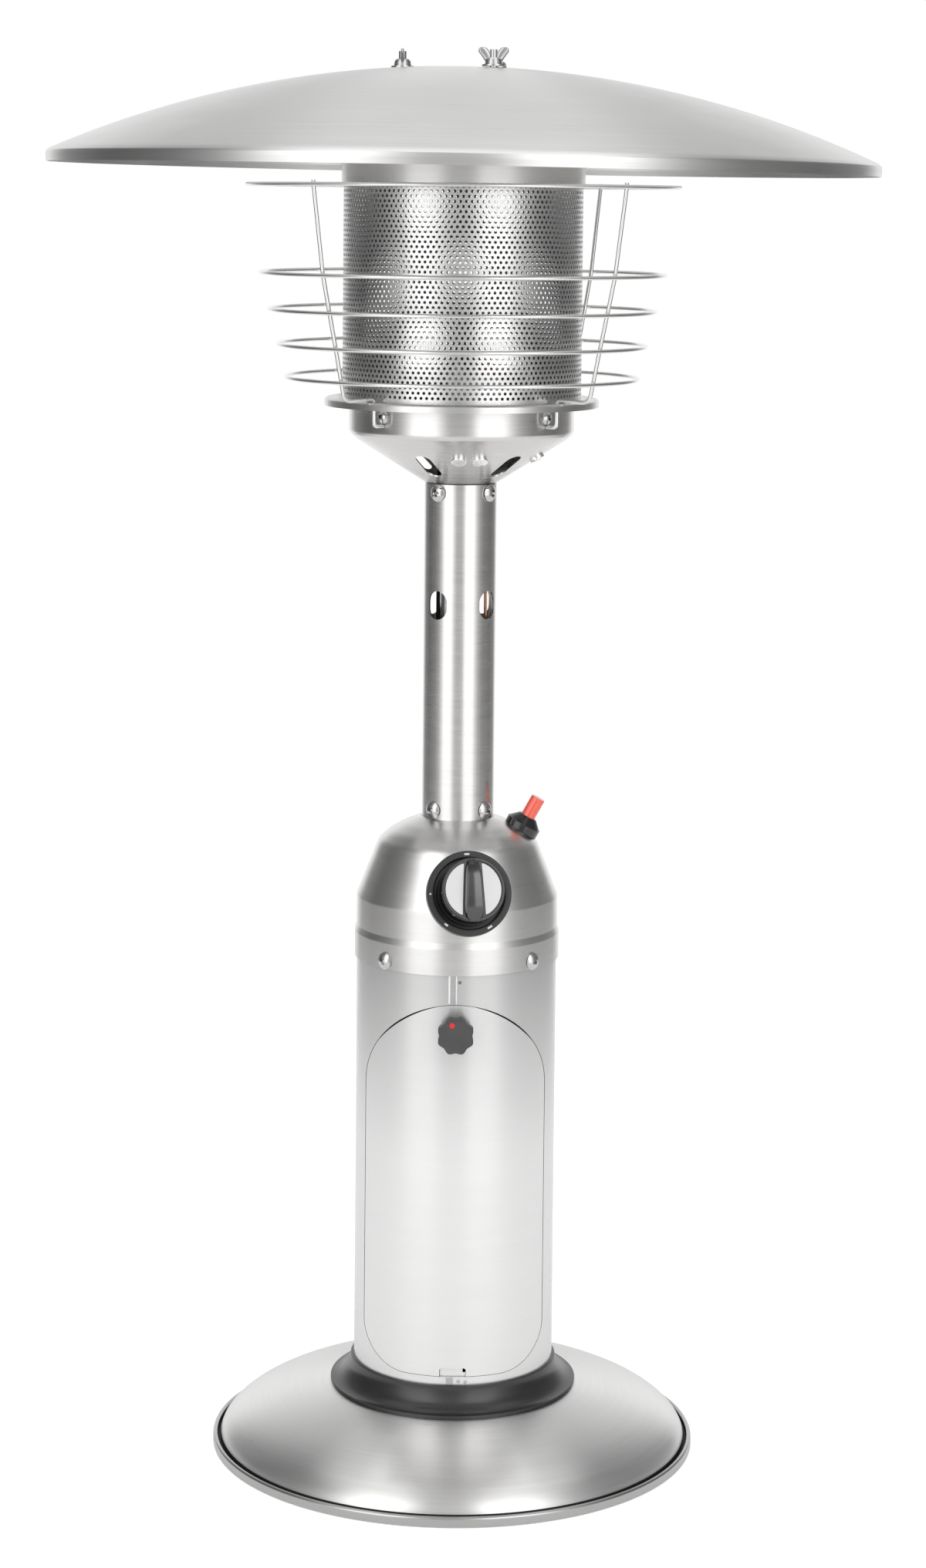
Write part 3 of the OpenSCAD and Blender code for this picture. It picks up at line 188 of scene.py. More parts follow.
def disc_outline(radius, low, high, edge):
    """Outline of a button with a rounded upper edge."""
    return [(0, low), (radius, low)] + fillet([(radius, low), (radius, high), (0, high)], edge, 8)[1:]


def circle(r, n=48):
    return [(r * math.cos(2 * PI * k / n), r * math.sin(2 * PI * k / n)) for k in range(n)]


def obround(w, h, n=16):
    """A slot's outline with round ends, drawn out along Y."""
    r, side = w / 2, (h - w) / 2
    half = [PI * k / n for k in range(n + 1)]
    return ([(r * math.cos(a), side + r * math.sin(a)) for a in half]
            + [(-r * math.cos(a), -side - r * math.sin(a)) for a in half])


def lathe(name, outline, segments=240, smooth_angle=SMOOTH):
    """Turns a closed outline of (radius, height) about Z."""
    verts, faces, rows = [], [], []
    for r, z in outline:
        if r < 1e-6:
            rows.append([len(verts)] * segments)
            verts.append((0, 0, z))
            continue
        rows.append(list(range(len(verts), len(verts) + segments)))
        for k in range(segments):
            a = 2 * PI * k / segments
            verts.append((r * math.sin(a), -r * math.cos(a), z))
    for i, low in enumerate(rows):
        high = rows[(i + 1) % len(rows)]
        for k in range(segments):
            m = (k + 1) % segments
            face = list(dict.fromkeys((low[k], low[m], high[m], high[k])))
            if len(face) > 2:
                faces.append(face)
    return add_mesh(name, verts, faces, smooth_angle)


def loft(name, loops, smooth_angle=SMOOTH, closed=False):
    """Skin over loops of equal length; it runs back to the first loop, or both ends get a face."""
    n, count = len(loops[0]), len(loops)
    faces = []
    for i in range(count if closed else count - 1):
        low, high = i * n, (i + 1) % count * n
        faces += [[low + k, low + (k + 1) % n, high + (k + 1) % n, high + k] for k in range(n)]
    if not closed:
        faces += [list(range(n))[::-1], list(range((count - 1) * n, count * n))]
    return add_mesh(name, [p for loop in loops for p in loop], faces, smooth_angle)


def prism(name, outline, low, high):
    """A closed outline of (x, y) drawn out from height low to high."""
    return loft(name, [[(x, y, z) for x, y in outline] for z in (low, high)])


def ring_loft(name, outline_at, steps):
    """A turned body whose outline of (radius, height) follows from the angle."""
    angles = [2 * PI * k / steps for k in range(steps)]
    return loft(name, [[(r * math.cos(a), r * math.sin(a), w) for r, w in outline_at(a)] for a in angles],
                closed=True)


def sweep(name, path, sides=16, closed=False):
    """A guard wire along a path."""
    points = [Vector(p) for p in path]
    last, loops, side = len(points) - 1, [], None
    for i, p in enumerate(points):
        if closed:
            d = (points[(i + 1) % len(points)] - points[i - 1]).normalized()
        else:
            d = (points[min(i + 1, last)] - points[max(i - 1, 0)]).normalized()
        if side is None:
            side = d.orthogonal().normalized()
        side = (side - d * side.dot(d)).normalized()
        other = d.cross(side)
        loops.append([p + WIRE_R * (math.cos(a) * side + math.sin(a) * other)
                      for a in (2 * PI * k / sides for k in range(sides))])
    return loft(name, loops, ROUND, closed)


def cut(obj, cutters, smooth_angle=SMOOTH):
    """Cuts the cutters out of the piece."""
    for cutter in cutters:
        tool = obj.modifiers.new("cut", "BOOLEAN")
        tool.operation, tool.object, tool.solver = "DIFFERENCE", cutter, "EXACT"
    graph = bpy.context.evaluated_depsgraph_get()
    mesh = bpy.data.meshes.new_from_object(obj.evaluated_get(graph))
    obj.modifiers.clear()
    obj.data = mesh
    for cutter in cutters:
        bpy.data.objects.remove(cutter)
    soften(obj, smooth_angle)
    return obj


def cutter(outline, low, high, axes=Matrix.Identity(4)):
    """A block for cutting: the outline drawn out along the Z axis of its own axes."""
    return moved(prism("cutter", outline, low, high), axes)


def turned_normals(obj, line, match_from=0.9):
    """Gives the faces that lie on a turned surface that surface's own normals, and keeps cut walls flat."""
    line = np.array([tuple(p) for p in line])
    step = np.diff(line, axis=0)
    length = np.linalg.norm(step, axis=1)
    side = np.stack([step[:, 1], -step[:, 0]], 1) / length[:, None]
    corner = np.vstack([side[:1], side[:-1] + side[1:], side[-1:]])
    corner /= np.linalg.norm(corner, axis=1)[:, None]
    mesh = obj.data
    normals = []
    for face in mesh.polygons:
        centre = face.center / MM
        r, z = math.hypot(centre.x, centre.y), centre.z
        t = np.clip(((r - line[:-1, 0]) * step[:, 0] + (z - line[:-1, 1]) * step[:, 1]) / length ** 2, 0, 1)
        gap = np.hypot(line[:-1, 0] + t * step[:, 0] - r, line[:-1, 1] + t * step[:, 1] - z)
        i = int(np.argmin(gap))
        a = math.atan2(centre.x, -centre.y)
        match = Vector((side[i][0] * math.sin(a), -side[i][0] * math.cos(a), side[i][1])).dot(face.normal)
        for index in face.vertices:
            if abs(match) < match_from:
                normals.append(tuple(face.normal))
                continue
            p = mesh.vertices[index].co / MM
            r, z = math.hypot(p.x, p.y), p.z
            u = ((r - line[i, 0]) * step[i, 0] + (z - line[i, 1]) * step[i, 1]) / length[i] ** 2
            u = min(max(u, 0), 1)
            q = (1 - u) * corner[i] + u * corner[i + 1]
            a = math.atan2(p.x, -p.y)
            n = Vector((q[0] * math.sin(a), -q[0] * math.cos(a), q[1])).normalized()
            normals.append(tuple(n if match > 0 else -n))
    mesh.normals_split_custom_set(normals)
    return obj


# Materials

def fill(tree, node, values):
    """Sets inputs of a node to numbers and colours, or links them to outputs of other nodes."""
    for key, value in values.items():
        if isinstance(value, (int, float, tuple)):
            node.inputs[key].default_value = value
        else:
            tree.links.new(value, node.inputs[key])


def add_node(tree, kind, values=None, **settings):
    node = tree.nodes.new("ShaderNode" + kind)
    for key, setting in settings.items():
        setattr(node, key, setting)
    fill(tree, node, values or {})
    return node


def new_material(name):
    material = bpy.data.materials.new(name)
    material.use_nodes = True
    tree = material.node_tree
    return material, tree, tree.nodes["Principled BSDF"]


def maths(tree, operation, *values):
    return add_node(tree, "Math", dict(enumerate(values)), operation=operation).outputs[0]


def times(tree, a, b):
    return maths(tree, "MULTIPLY", a, b)


def plus(tree, a, b):
    return maths(tree, "ADD", a, b)


def blend(tree, factor, a, b, mode="MIX"):
    values = {"Factor": factor, "A": a, "B": b}
    return add_node(tree, "Mix", values, data_type="RGBA", blend_type=mode).outputs["Result"]


def map_range(tree, value, from_low, from_high, to_low, to_high, kind="LINEAR"):
    values = {"Value": value, "From Min": from_low, "From Max": from_high,
              "To Min": to_low, "To Max": to_high}
    return add_node(tree, "MapRange", values, interpolation_type=kind).outputs["Result"]


def spread(tree, value, low, high):
    """Maps a noise value onto a range."""
    return map_range(tree, value, 0.3, 0.7, low, high)


def tint(tree, value, color, contrast):
    """A colour that a noise value makes darker and lighter."""
    low, high = ((*(min(c * factor, 1.0) for c in color), 1) for factor in (1 - contrast, 1 + contrast))
    return blend(tree, spread(tree, value, 0, 1), low, high)


def noise(tree, vector, scale, detail=3.0, roughness=0.55, w=None):
    values, settings = {"Scale": scale, "Detail": detail, "Roughness": roughness, "Vector": vector}, {}
    if w is not None:
        values["W"], settings["noise_dimensions"] = w, "4D"
    return add_node(tree, "TexNoise", values, **settings).outputs["Fac"]


def object_place(tree):
    coords = add_node(tree, "TexCoord").outputs["Object"]
    return coords, add_node(tree, "SeparateXYZ", {0: coords}).outputs


def bump(tree, shader, height, micrometres):
    node = add_node(tree, "Bump", {"Distance": micrometres * 0.000001, "Strength": 1.0, "Height": height})
    tree.links.new(node.outputs["Normal"], shader.inputs["Normal"])


def spun(name, color, roughness, anisotropy=0.8, streak=1600.0, arc=2.5, depth=4, contrast=0.05,
         smudge=0.015, metallic=1.0, painted_shade=None):
    """Brushed metal whose brush lines run round the Z axis; the last argument is (height, height, factor
    above it), a painted shade that darkens the colour upwards between the two heights.
    """
    material, tree, shader = new_material(name)
    coords, (x, y, z) = object_place(tree)
    r = maths(tree, "SQRT", plus(tree, times(tree, x, x), times(tree, y, y)))
    safe_r = maths(tree, "MAXIMUM", r, 0.001)
    around = add_node(tree, "CombineXYZ", {0: times(tree, maths(tree, "DIVIDE", x, safe_r), arc),
                                           1: times(tree, maths(tree, "DIVIDE", y, safe_r), arc),
                                           2: times(tree, r, streak)}).outputs[0]
    lines = noise(tree, around, 1.0, 3.0, 0.6, times(tree, z, streak))
    broad = noise(tree, around, 0.3, 2.0, 0.5, times(tree, z, streak * 0.3))
    clouds = noise(tree, coords, 22.0, 3.0, 0.6)
    mixed = plus(tree, times(tree, lines, 0.55), times(tree, broad, 0.45))
    skin = tint(tree, mixed, color, contrast)
    # Painted shade: the colour darkens upwards between the two heights
    if painted_shade:
        low, high, factor = painted_shade
        skin = blend(tree, 1.0, skin, map_range(tree, z, low, high, 1.0, factor), "MULTIPLY")
    rough = plus(tree, spread(tree, mixed, roughness - 0.03, roughness + 0.03),
                 spread(tree, clouds, -smudge, smudge))
    tangent = add_node(tree, "Tangent", direction_type="RADIAL", axis="Z").outputs[0]
    fill(tree, shader, {"Base Color": skin, "Roughness": rough, "Metallic": metallic, "Tangent": tangent,
                        "Anisotropic": anisotropy, "Anisotropic Rotation": 0.25})
    bump(tree, shader, lines, depth)
    return material


def grained(name, color, grain, scale, broad_scale):
    """A material with a fine and a broad noise, whose colour follows the broad one."""
    material, tree, shader = new_material(name)
    coords, _ = object_place(tree)
    fine, broad = noise(tree, coords, scale), noise(tree, coords, broad_scale)
    fill(tree, shader, {"Base Color": tint(tree, broad, color, grain)})
    return material, tree, shader, fine, broad


def metal(name, color, roughness, grain=0.05, scale=400.0, depth=10):
    """Plain metal with a fine grain."""
    material, tree, shader, fine, _ = grained(name, color, grain, scale, 30.0)
    fill(tree, shader, {"Roughness": spread(tree, fine, roughness * 0.8, roughness * 1.2), "Metallic": 1.0})
    bump(tree, shader, fine, depth)
    return material


def plastic(name, color, roughness, grain=0.12, scale=900.0, depth=20, coat=0.0, ior=1.5):
    """Moulded plastic, rubber, ceramic or cast skin with a fine grain and slight wear."""
    material, tree, shader, fine, broad = grained(name, color, grain, scale, 45.0)
    fill(tree, shader, {"Roughness": spread(tree, broad, roughness * 0.85, roughness * 1.15), "IOR": ior,
                        "Coat Weight": coat, "Coat Roughness": 0.08})
    bump(tree, shader, fine, depth)
    return material


SPUN = spun("spun_steel", (0.72, 0.715, 0.705), 0.3)
REFLECTOR = spun("reflector_steel", (0.7, 0.695, 0.69), 0.3, streak=1100.0, arc=3.0)
BASE = spun("base_steel", (0.78, 0.775, 0.77), 0.3, 0.93, streak=1300.0, arc=3.0, depth=0.8)
# Painted shade: the pan's steel is darker than the cover's, so its rim looks shaded next to the floor
PAN_PAINTED_SHADE = spun("pan_steel_painted_shade", (0.5, 0.497, 0.493), 0.2, 0.7, streak=1300.0)
# Nearly black steel: painted shade for the groove between the base's rim and its cover
GROOVE_PAINTED_SHADE = spun("groove_painted_shade", (0.06, 0.06, 0.06), 0.6, 0.2)
BOWL = spun("bowl_steel", (0.72, 0.71, 0.7), 0.26, 0.85, contrast=0.07)
POST = spun("post_steel", (0.72, 0.71, 0.7), 0.26, 0.85, contrast=0.07, smudge=0.01)
# Painted shade darkens the upper part of the housing and of the door
HOUSING = spun("housing_steel", (0.84, 0.84, 0.835), 0.24, 0.5, streak=1500.0, contrast=0.02, depth=0.3,
               metallic=0.6, painted_shade=(0.2, 0.32, 0.68))
DOOR = spun("door_steel", (0.87, 0.87, 0.865), 0.24, 0.5, streak=1500.0, contrast=0.02, depth=0.3,
            metallic=0.6, painted_shade=(0.2, 0.3, 0.77))
LAP = spun("lap_steel", (0.6, 0.6, 0.595), 0.3, 0.5, streak=900.0, contrast=0.05, depth=3)
# Near-white strips on the lap seam's edges: a painted highlight
LAP_EDGE_HIGHLIGHT = spun("lap_edge_painted_highlight", (0.95, 0.95, 0.95), 0.4, 0.2, metallic=0.3)
SCREEN = metal("screen_steel", (0.72, 0.715, 0.71), 0.26, 0.04)
# Dark steel painted on the drum's inner faces as shade
SCREEN_INSIDE_SHADE = metal("screen_inside_painted_shade", (0.2, 0.195, 0.19), 0.5, 0.2)
CHROME = metal("bright_plate", (0.6, 0.6, 0.6), 0.14, 0.03, 200.0, 1)
CONE_HEADS = metal("screw_plate", (0.94, 0.94, 0.94), 0.2, 0.03, 200.0, 1)
WING = metal("wing_plate", (0.5, 0.5, 0.5), 0.26, 0.08, 200.0, 6)
KNOB_CHROME = metal("knob_chrome", (0.13, 0.13, 0.13), 0.16, 0.03, 900.0, 0.5)
WIRE = metal("wire_steel", (0.8, 0.8, 0.79), 0.14, 0.06, 260.0)
ZINC = metal("zinc_plate", (0.55, 0.56, 0.57), 0.4, 0.1, 250.0)
BRASS = metal("brass", (0.72, 0.53, 0.26), 0.3, 0.08)
COPPER = metal("copper", (0.78, 0.42, 0.26), 0.3, 0.08)
DIE_CAST = metal("die_cast", (0.42, 0.42, 0.43), 0.5, 0.1, 300.0, 40)
BURNER = metal("burner_steel", (0.2, 0.19, 0.18), 0.5, 0.25, 200.0, 30)
PLATES = metal("knob_plates", (0.6, 0.6, 0.6), 0.36, 0.02, 2500.0, 0.5)
CAST = plastic("cast_iron", (0.12, 0.12, 0.125), 0.65, 0.25, 350.0, 200)
COLLAR = plastic("collar_plastic", (0.022, 0.022, 0.023), 0.25, 0.12, 1400.0, 15, ior=1.62)
BEZEL = plastic("bezel_plastic", (0.022, 0.022, 0.023), 0.28, 0.15, 1500.0, 10)
GLOSS = plastic("gloss_plastic", (0.006, 0.006, 0.006), 0.09, 0.15, 1200.0, 0.5, 0.3, 1.65)
LATCH = plastic("latch_plastic", (0.06, 0.06, 0.061), 0.48, 0.14, 1300.0, 40)
RED = plastic("red_plastic", (0.93, 0.1, 0.05), 0.12, 0.03, 900.0, 0.3, 0.0, 1.95)
DOT = plastic("marker_plastic", (0.6, 0.03, 0.03), 0.4, 0.06, 900.0, 4)
RUBBER = plastic("rubber", (0.03, 0.03, 0.03), 0.7, 0.2, 900.0, 50)
CERAMIC = plastic("ceramic", (0.78, 0.76, 0.7), 0.5, 0.05, 700.0, 20)
MARKS = plastic("dial_marks", (0.85, 0.85, 0.84), 0.5, 0.03, 900.0, 2)

NODE_MATERIALS = {
    "base_pads": RUBBER, "base_weight": CAST, "base_screws": ZINC, "housing_floor": ZINC,
    "latch_spindle": ZINC, "valve_plate": ZINC, "regulator": DIE_CAST, "inlet_socket": BRASS,
    "inlet_seal": RUBBER, "valve_body": BRASS, "valve_plug": BRASS, "valve_stem": ZINC,
    "igniter_body": CERAMIC, "igniter_lead": RUBBER, "tilt_switch": LATCH, "post_socket": ZINC,
    "gas_tube": BRASS, "gas_orifice": BRASS, "pilot_tube": DIE_CAST, "thermocouple": COPPER,
    "mixing_tube": ZINC, "burner_head": BURNER, "pilot_bracket": ZINC, "electrode": CERAMIC,
    "reflector_studs": CHROME, "reflector_spacers": ZINC, "reflector_washers": CHROME,
}


def dress(obj, body, slot, material, *nodes):
    """Gives a piece its material and body, and hides the CAD nodes that it stands for; the slot is not used.
    """
    obj.data.materials.clear()
    obj.data.materials.append(material)
    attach(obj, body)
    if nodes:
        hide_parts(*nodes)
    return obj


for node_name, node_material in NODE_MATERIALS.items():
    node_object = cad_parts[node_name]
    node_object.data.materials.clear()
    node_object.data.materials.append(node_material)


# Base

PAN_UNDER, PAN_FOOT, PAN_LIP = 2.8, 0.4, 4.6
COLLAR_GAP, COLLAR_EDGE = 0.2, 0.8


def cover_line(drop):
    """The base cover's swept curve from its rim up to its flat top, drawn in by the drop."""
    line = []
    for a in (PI / 2 * i / 60 for i in range(61)):
        r = COVER_FLAT_R + math.sin(a) ** (2 / COVER_POWER) * (COVER_R - drop - COVER_FLAT_R)
        line.append((r, PAN_FLOOR + (COVER_TOP - PAN_FLOOR - drop) * math.cos(a)))
    return line[::-1]


def cover_height(r):
    """Height of the cover's upper face at a radius."""
    u = max(0.0, (r - COVER_FLAT_R) / (COVER_R - COVER_FLAT_R))
    return PAN_FLOOR + (COVER_TOP - PAN_FLOOR) * math.sqrt(1 - u ** COVER_POWER)


rim = [(PAN_R - RIM_W / 2 + RIM_W / 2 * math.cos(a), RIM_TOP - RIM_W / 2 + RIM_W / 2 * math.sin(a))
       for a in (PI * k / 14 for k in range(15))]
inner, foot_in, foot_out = PAN_R - RIM_W, PAN_R - 5.5, PAN_R - 3.2
pan_outline = ([(0, PAN_UNDER), (foot_in, PAN_UNDER)]
               + fillet([(foot_in, PAN_UNDER), (foot_out, PAN_FOOT), (PAN_R, PAN_FOOT),
                         (PAN_R, 2.5)], 1.0)[1:]
               + rim + [(inner, PAN_LIP)]
               + fillet([(inner, PAN_LIP), (inner, PAN_FLOOR), (inner - 1, PAN_FLOOR)], 0.4)
               + [(0, PAN_FLOOR)])
pan = dress(lathe("pan", pan_outline), "heater", "spun_steel", PAN_PAINTED_SHADE, "base_pan")
cover_outline = (cover_line(0) + [(0, COVER_TOP), (0, COVER_TOP - COVER_SHEET)]
                 + cover_line(COVER_SHEET)[::-1])
cover = dress(lathe("cover", cover_outline), "heater", "spun_steel", BASE, "base_cover")

# The groove between the rim and the cover, and the cover's foot, are painted nearly black as shade
for piece, inner_r, outer_r, top in ((pan, 100.0, inner + 0.15, RIM_TOP), (cover, 150.0, 153.0, 6.9)):
    piece.data.materials.append(GROOVE_PAINTED_SHADE)
    for face in piece.data.polygons:
        face_r = math.hypot(face.center.x, face.center.y) / MM
        if inner_r < face_r < outer_r and PAN_FLOOR - 0.1 < face.center.z / MM < top:
            face.material_index = 1

bore, under = HOUSING_R + 0.1, cover_height(COLLAR_FOOT_R) + COLLAR_GAP
lip = cover_height(COLLAR_FOOT_R) + COLLAR_LIP
flare = [(COLLAR_FOOT_R - (COLLAR_FOOT_R - HOUSING_R - 2) * math.cos(a),
          COLLAR_TOP - (COLLAR_TOP - lip) * math.sin(a)) for a in (PI / 2 * k / 20 for k in range(21))]
collar_outline = ([(r, cover_height(r) + COLLAR_GAP)
                   for r in np.linspace(bore, COLLAR_FOOT_R - COLLAR_EDGE, 8)]
                  + fillet([(COLLAR_FOOT_R - COLLAR_EDGE, under), (COLLAR_FOOT_R, under),
                            (COLLAR_FOOT_R, lip), flare[-2]], COLLAR_EDGE)[1:-1]
                  + flare[-2:0:-1] + fillet([flare[1], flare[0], (bore, COLLAR_TOP)], 0.7)[1:])
dress(lathe("collar", collar_outline), "heater", "collar_black", COLLAR, "base_collar")


# Tank housing and door

# A distance that is outside the housing, for blocks that cut through its wall
OUTSIDE = 90.0
FRONT = seat(0, 0, 0)
HOUSING_LINE = [(HOUSING_R, HOUSING_Z), (HOUSING_R, HOUSING_TOP)]


def arch(gap, steps=16):
    """The door opening's outline in X and Z, drawn in by the gap."""
    w, r = DOOR_W / 2 - gap, DOOR_CORNER - gap
    corner = [PI / 2 * k / steps for k in range(steps + 1)]
    head = [PI * k / (5 * steps) for k in range(5 * steps + 1)]
    return ([(w - r + r * math.sin(a), DOOR_Z + gap + r - r * math.cos(a)) for a in corner]
            + [(w * math.cos(a), ARCH_Z + w * math.sin(a)) for a in head]
            + [(-(w - r) - r * math.cos(a), DOOR_Z + gap + r - r * math.sin(a)) for a in corner])


SLIT_AT, SLIT_SPREAD = 0.62, 0.42


def door_edge():
    """The door's outline: its slit opens in two stretches of the head, given in radians from the top."""
    edge = []
    for (x0, z0), (x1, z1) in zip(arch(HEAD_SLIT), arch(SIDE_SLIT)):
        a = math.atan2(z0 - ARCH_Z, x0)
        t = max(0.0, 1 - (abs(abs(a - PI / 2) - SLIT_AT) / SLIT_SPREAD) ** 2) if z0 > ARCH_Z else 0.0
        edge.append((x1 + (x0 - x1) * t, z1 + (z0 - z1) * t))
    return edge


def outside_arch():
    """A block that leaves only what lies inside the door's outline."""
    middle, low, high, wide, near = 190, DOOR_Z - 6, DOOR_TOP + 6, HOUSING_R + 4, 25.0
    loops = []
    for x, z in door_edge():
        up = (z - middle) / (high - middle) if z > middle else (middle - z) / (middle - low)
        k = max(abs(x) / wide, up)
        far_x, far_z = x / k, middle + (z - middle) / k
        loops.append([(x, -OUTSIDE, z), (x, -near, z), (far_x, -near, far_z), (far_x, -OUTSIDE, far_z)])
    return loft("cutter", loops, closed=True)


def wall(name, low, high, outer, thickness=SHEET, segments=320, rows=24):
    """An upright tube with rows of faces."""
    heights = [low + (high - low) * k / rows for k in range(rows + 1)]
    outline = [(outer, z) for z in heights] + [(outer - thickness, z) for z in heights[::-1]]
    return lathe(name, outline, segments)


def patch(name, x0, x1, z0, z1, outer, thickness, steps=8):
    """A small curved plate that lies on a cylinder at the front."""
    corners = ((outer, z0), (outer, z1), (outer - thickness, z1), (outer - thickness, z0))
    return loft(name, [[(x, -math.sqrt(r * r - x * x), z) for r, z in corners]
                       for x in (x0 + (x1 - x0) * k / steps for k in range(steps + 1))])


housing = cut(wall("housing", HOUSING_Z, HOUSING_TOP, HOUSING_R), [cutter(arch(0), 0, OUTSIDE, FRONT)])
turned_normals(housing, HOUSING_LINE)
dress(housing, "heater", "housing_steel", HOUSING, "tank_housing")

seam_low, seam_high, half_seam = DOOR_TOP + 0.8, SKIRT_Z - 0.1, SEAM_W / 2
# The lap seam, with near-white strips along its edges painted as highlights
for name, low_x, high_x, low_z, high_z, rise, thick, look in (
        ("lap_seam", -half_seam, half_seam, seam_low, seam_high, SEAM_SHEET, SEAM_SHEET + 0.2, LAP),
        ("lap_seam_left_highlight", -half_seam - 0.5, -half_seam + 0.5, seam_low, seam_high, SEAM_SHEET + 0.05,
         SEAM_SHEET, LAP_EDGE_HIGHLIGHT),
        ("lap_seam_right_highlight", half_seam - 0.35, half_seam + 0.35, seam_low, seam_high, SEAM_SHEET + 0.05,
         SEAM_SHEET, LAP_EDGE_HIGHLIGHT),
        ("lap_seam_foot", -half_seam, half_seam, 57.8, DOOR_Z - 0.4, 0.3, 0.4, LAP)):
    dress(patch(name, SEAM_X + low_x, SEAM_X + high_x, low_z, high_z, HOUSING_R + rise, thick),
          "heater", "housing_steel", look)

notch_x, notch_low = TAB_W / 2, DOOR_Z - 2
notch = fillet([(notch_x, notch_low), (notch_x, TAB_TOP), (-notch_x, TAB_TOP), (-notch_x, notch_low)], 1.6)
back_half = cutter([(-OUTSIDE, -28), (OUTSIDE, -28), (OUTSIDE, OUTSIDE), (-OUTSIDE, OUTSIDE)],
                   DOOR_Z - 10, DOOR_TOP + 10)
door = cut(wall("door", DOOR_Z - 1, DOOR_TOP + 1, HOUSING_R),
           [back_half, outside_arch(), cutter(notch, 0, OUTSIDE, FRONT),
            cutter(circle(LATCH_HOLE_R, 24), 50, 80, seat(0, 0, LATCH_Z))])
turned_normals(door, HOUSING_LINE)
dress(door, "door", "housing_steel", DOOR, "tank_door")

tab_left, tab_right, tab_low, tab_r = -TAB_W / 2 + 0.35, TAB_W / 2 - 2.0, DOOR_Z - 10, HOUSING_R - TAB_DEEP
for name, low_x, high_x, low_z, high_z, outer, thick, look in (
        ("door_tab", tab_left, tab_right, tab_low, TAB_TOP + 2.5, tab_r, SHEET, DOOR),
        ("door_tab_end", tab_right, TAB_W / 2 - 0.1, tab_low, DOOR_Z + 2.6, tab_r, SHEET, DOOR),
        ("door_tab_step", tab_left, tab_right, TAB_TOP + 0.6, TAB_TOP + 2.4, HOUSING_R - SHEET + 0.05,
         TAB_DEEP - 0.6, HOUSING)):
    dress(patch(name, low_x, high_x, low_z, high_z, outer, thick), "door", "housing_steel", look)

for name, x, z, r, look in (("foot_rivet_a", 3.7, 59.9, 1.1, ZINC), ("foot_rivet_b", 8.1, 59.3, 1.1, ZINC),
                            ("weld_spot", 2.35, 317.4, 1.05, BURNER)):
    spot = lathe(name, disc_outline(r, -0.3, 0.35, 0.3), 20)
    moved(spot, seat(math.degrees(math.asin(x / HOUSING_R)), HOUSING_R, z))
    dress(spot, "heater", "plated_steel", look)


def latch_loop(shrink, w):
    """One height of the latch knob with its soft lobes."""
    loop = []
    for a in (2 * PI * k / 128 for k in range(128)):
        r = LATCH_R - shrink + LATCH_WAVE * math.cos(LATCH_LOBES * a)
        loop.append((r * math.cos(a + PI / LATCH_LOBES), r * math.sin(a + PI / LATCH_LOBES), w))
    return loop


at_latch = seat(0, HOUSING_R, LATCH_Z)
latch_loops = [latch_loop(shrink, LATCH_FOOT + w) for shrink, w in ((1.0, 0.0), (0.35, 0.3), (0.0, 1.0))]
latch_loops += [latch_loop(LATCH_EDGE * (1 - math.cos(a)),
                           LATCH_FACE - LATCH_EDGE + LATCH_EDGE * math.sin(a))
                for a in (PI / 2 * k / 6 for k in range(7))]
latch_loops += [latch_loop(1.6, LATCH_FACE - 0.15), latch_loop(2.6, LATCH_FACE - 0.3)]
neck = lathe("neck", [(4.0, 0.4), (6.0, 0.4), (6.0, 5.6), (4.0, 5.6)], 48)
latch = join("latch", [loft("lobes", latch_loops), neck])
dress(moved(latch, at_latch), "latch", "grey_plastic", LATCH, "latch_knob")
marker = lathe("marker", disc_outline(1.9, LATCH_FACE - 0.6, LATCH_FACE + 0.25, 0.35), 32)
marker_turn = math.radians(MARKER_ANGLE)
moved(marker, at_latch @ place(-MARKER_R * math.sin(marker_turn), MARKER_R * math.cos(marker_turn), 0))
dress(marker, "latch", "red_plastic", DOT, "latch_marker")


# Head dome, knob and igniter

dome_points = [(SKIRT_R, SKIRT_Z), (SKIRT_R, 338.6), (65.3, 342.4), (65.1, 362.0), (62.6, 368.0),
               (58.8, 378.2), (54.6, 388.4), (53.2, 392.4), (50.9, 397.6), (44.0, 403.7), (34.9, 408.6),
               (POST_R + 0.2, DOME_TOP)]
dome_line = fillet(dome_points, [0, 3, 3, 5, 12, 20, 10, 8, 12, 30, 40, 0], 7)
at_knob = seat(KNOB_AZIMUTH, KNOB_SEAT_R, KNOB_Z, 90 - KNOB_TILT)
at_igniter = seat(90, IGNITER_R, IGNITER_Z, IGNITER_TILT)
dome = lathe("dome", sheet(dome_line), 300)
cut(dome, [cutter(circle(KNOB_HOLE_R, 72), -14, 14, at_knob),
           cutter(circle(IGNITER_HOLE_R, 40), -6, 6, at_igniter)])
turned_normals(dome, dome_line)
dress(dome, "heater", "spun_steel", SPUN, "head_dome")


def dome_radius(z):
    for (r0, z0), (r1, z1) in zip(dome_line, dome_line[1:]):
        if z0 <= z <= z1:
            return r0 + (r1 - r0) * (z - z0) / (z1 - z0)
    return POST_R if z > DOME_TOP else SKIRT_R


def on_dome(radius, angle, axes):
    """Depth along the axes' Z at which a circle's point meets the dome."""
    low, high = -25.0, 8.0
    for _ in range(40):
        w = (low + high) / 2
        p = axes @ Vector((radius * math.cos(angle) * MM, radius * math.sin(angle) * MM, w * MM)) / MM
        if math.hypot(p.x, p.y) > dome_radius(p.z):
            high = w
        else:
            low = w
    return high


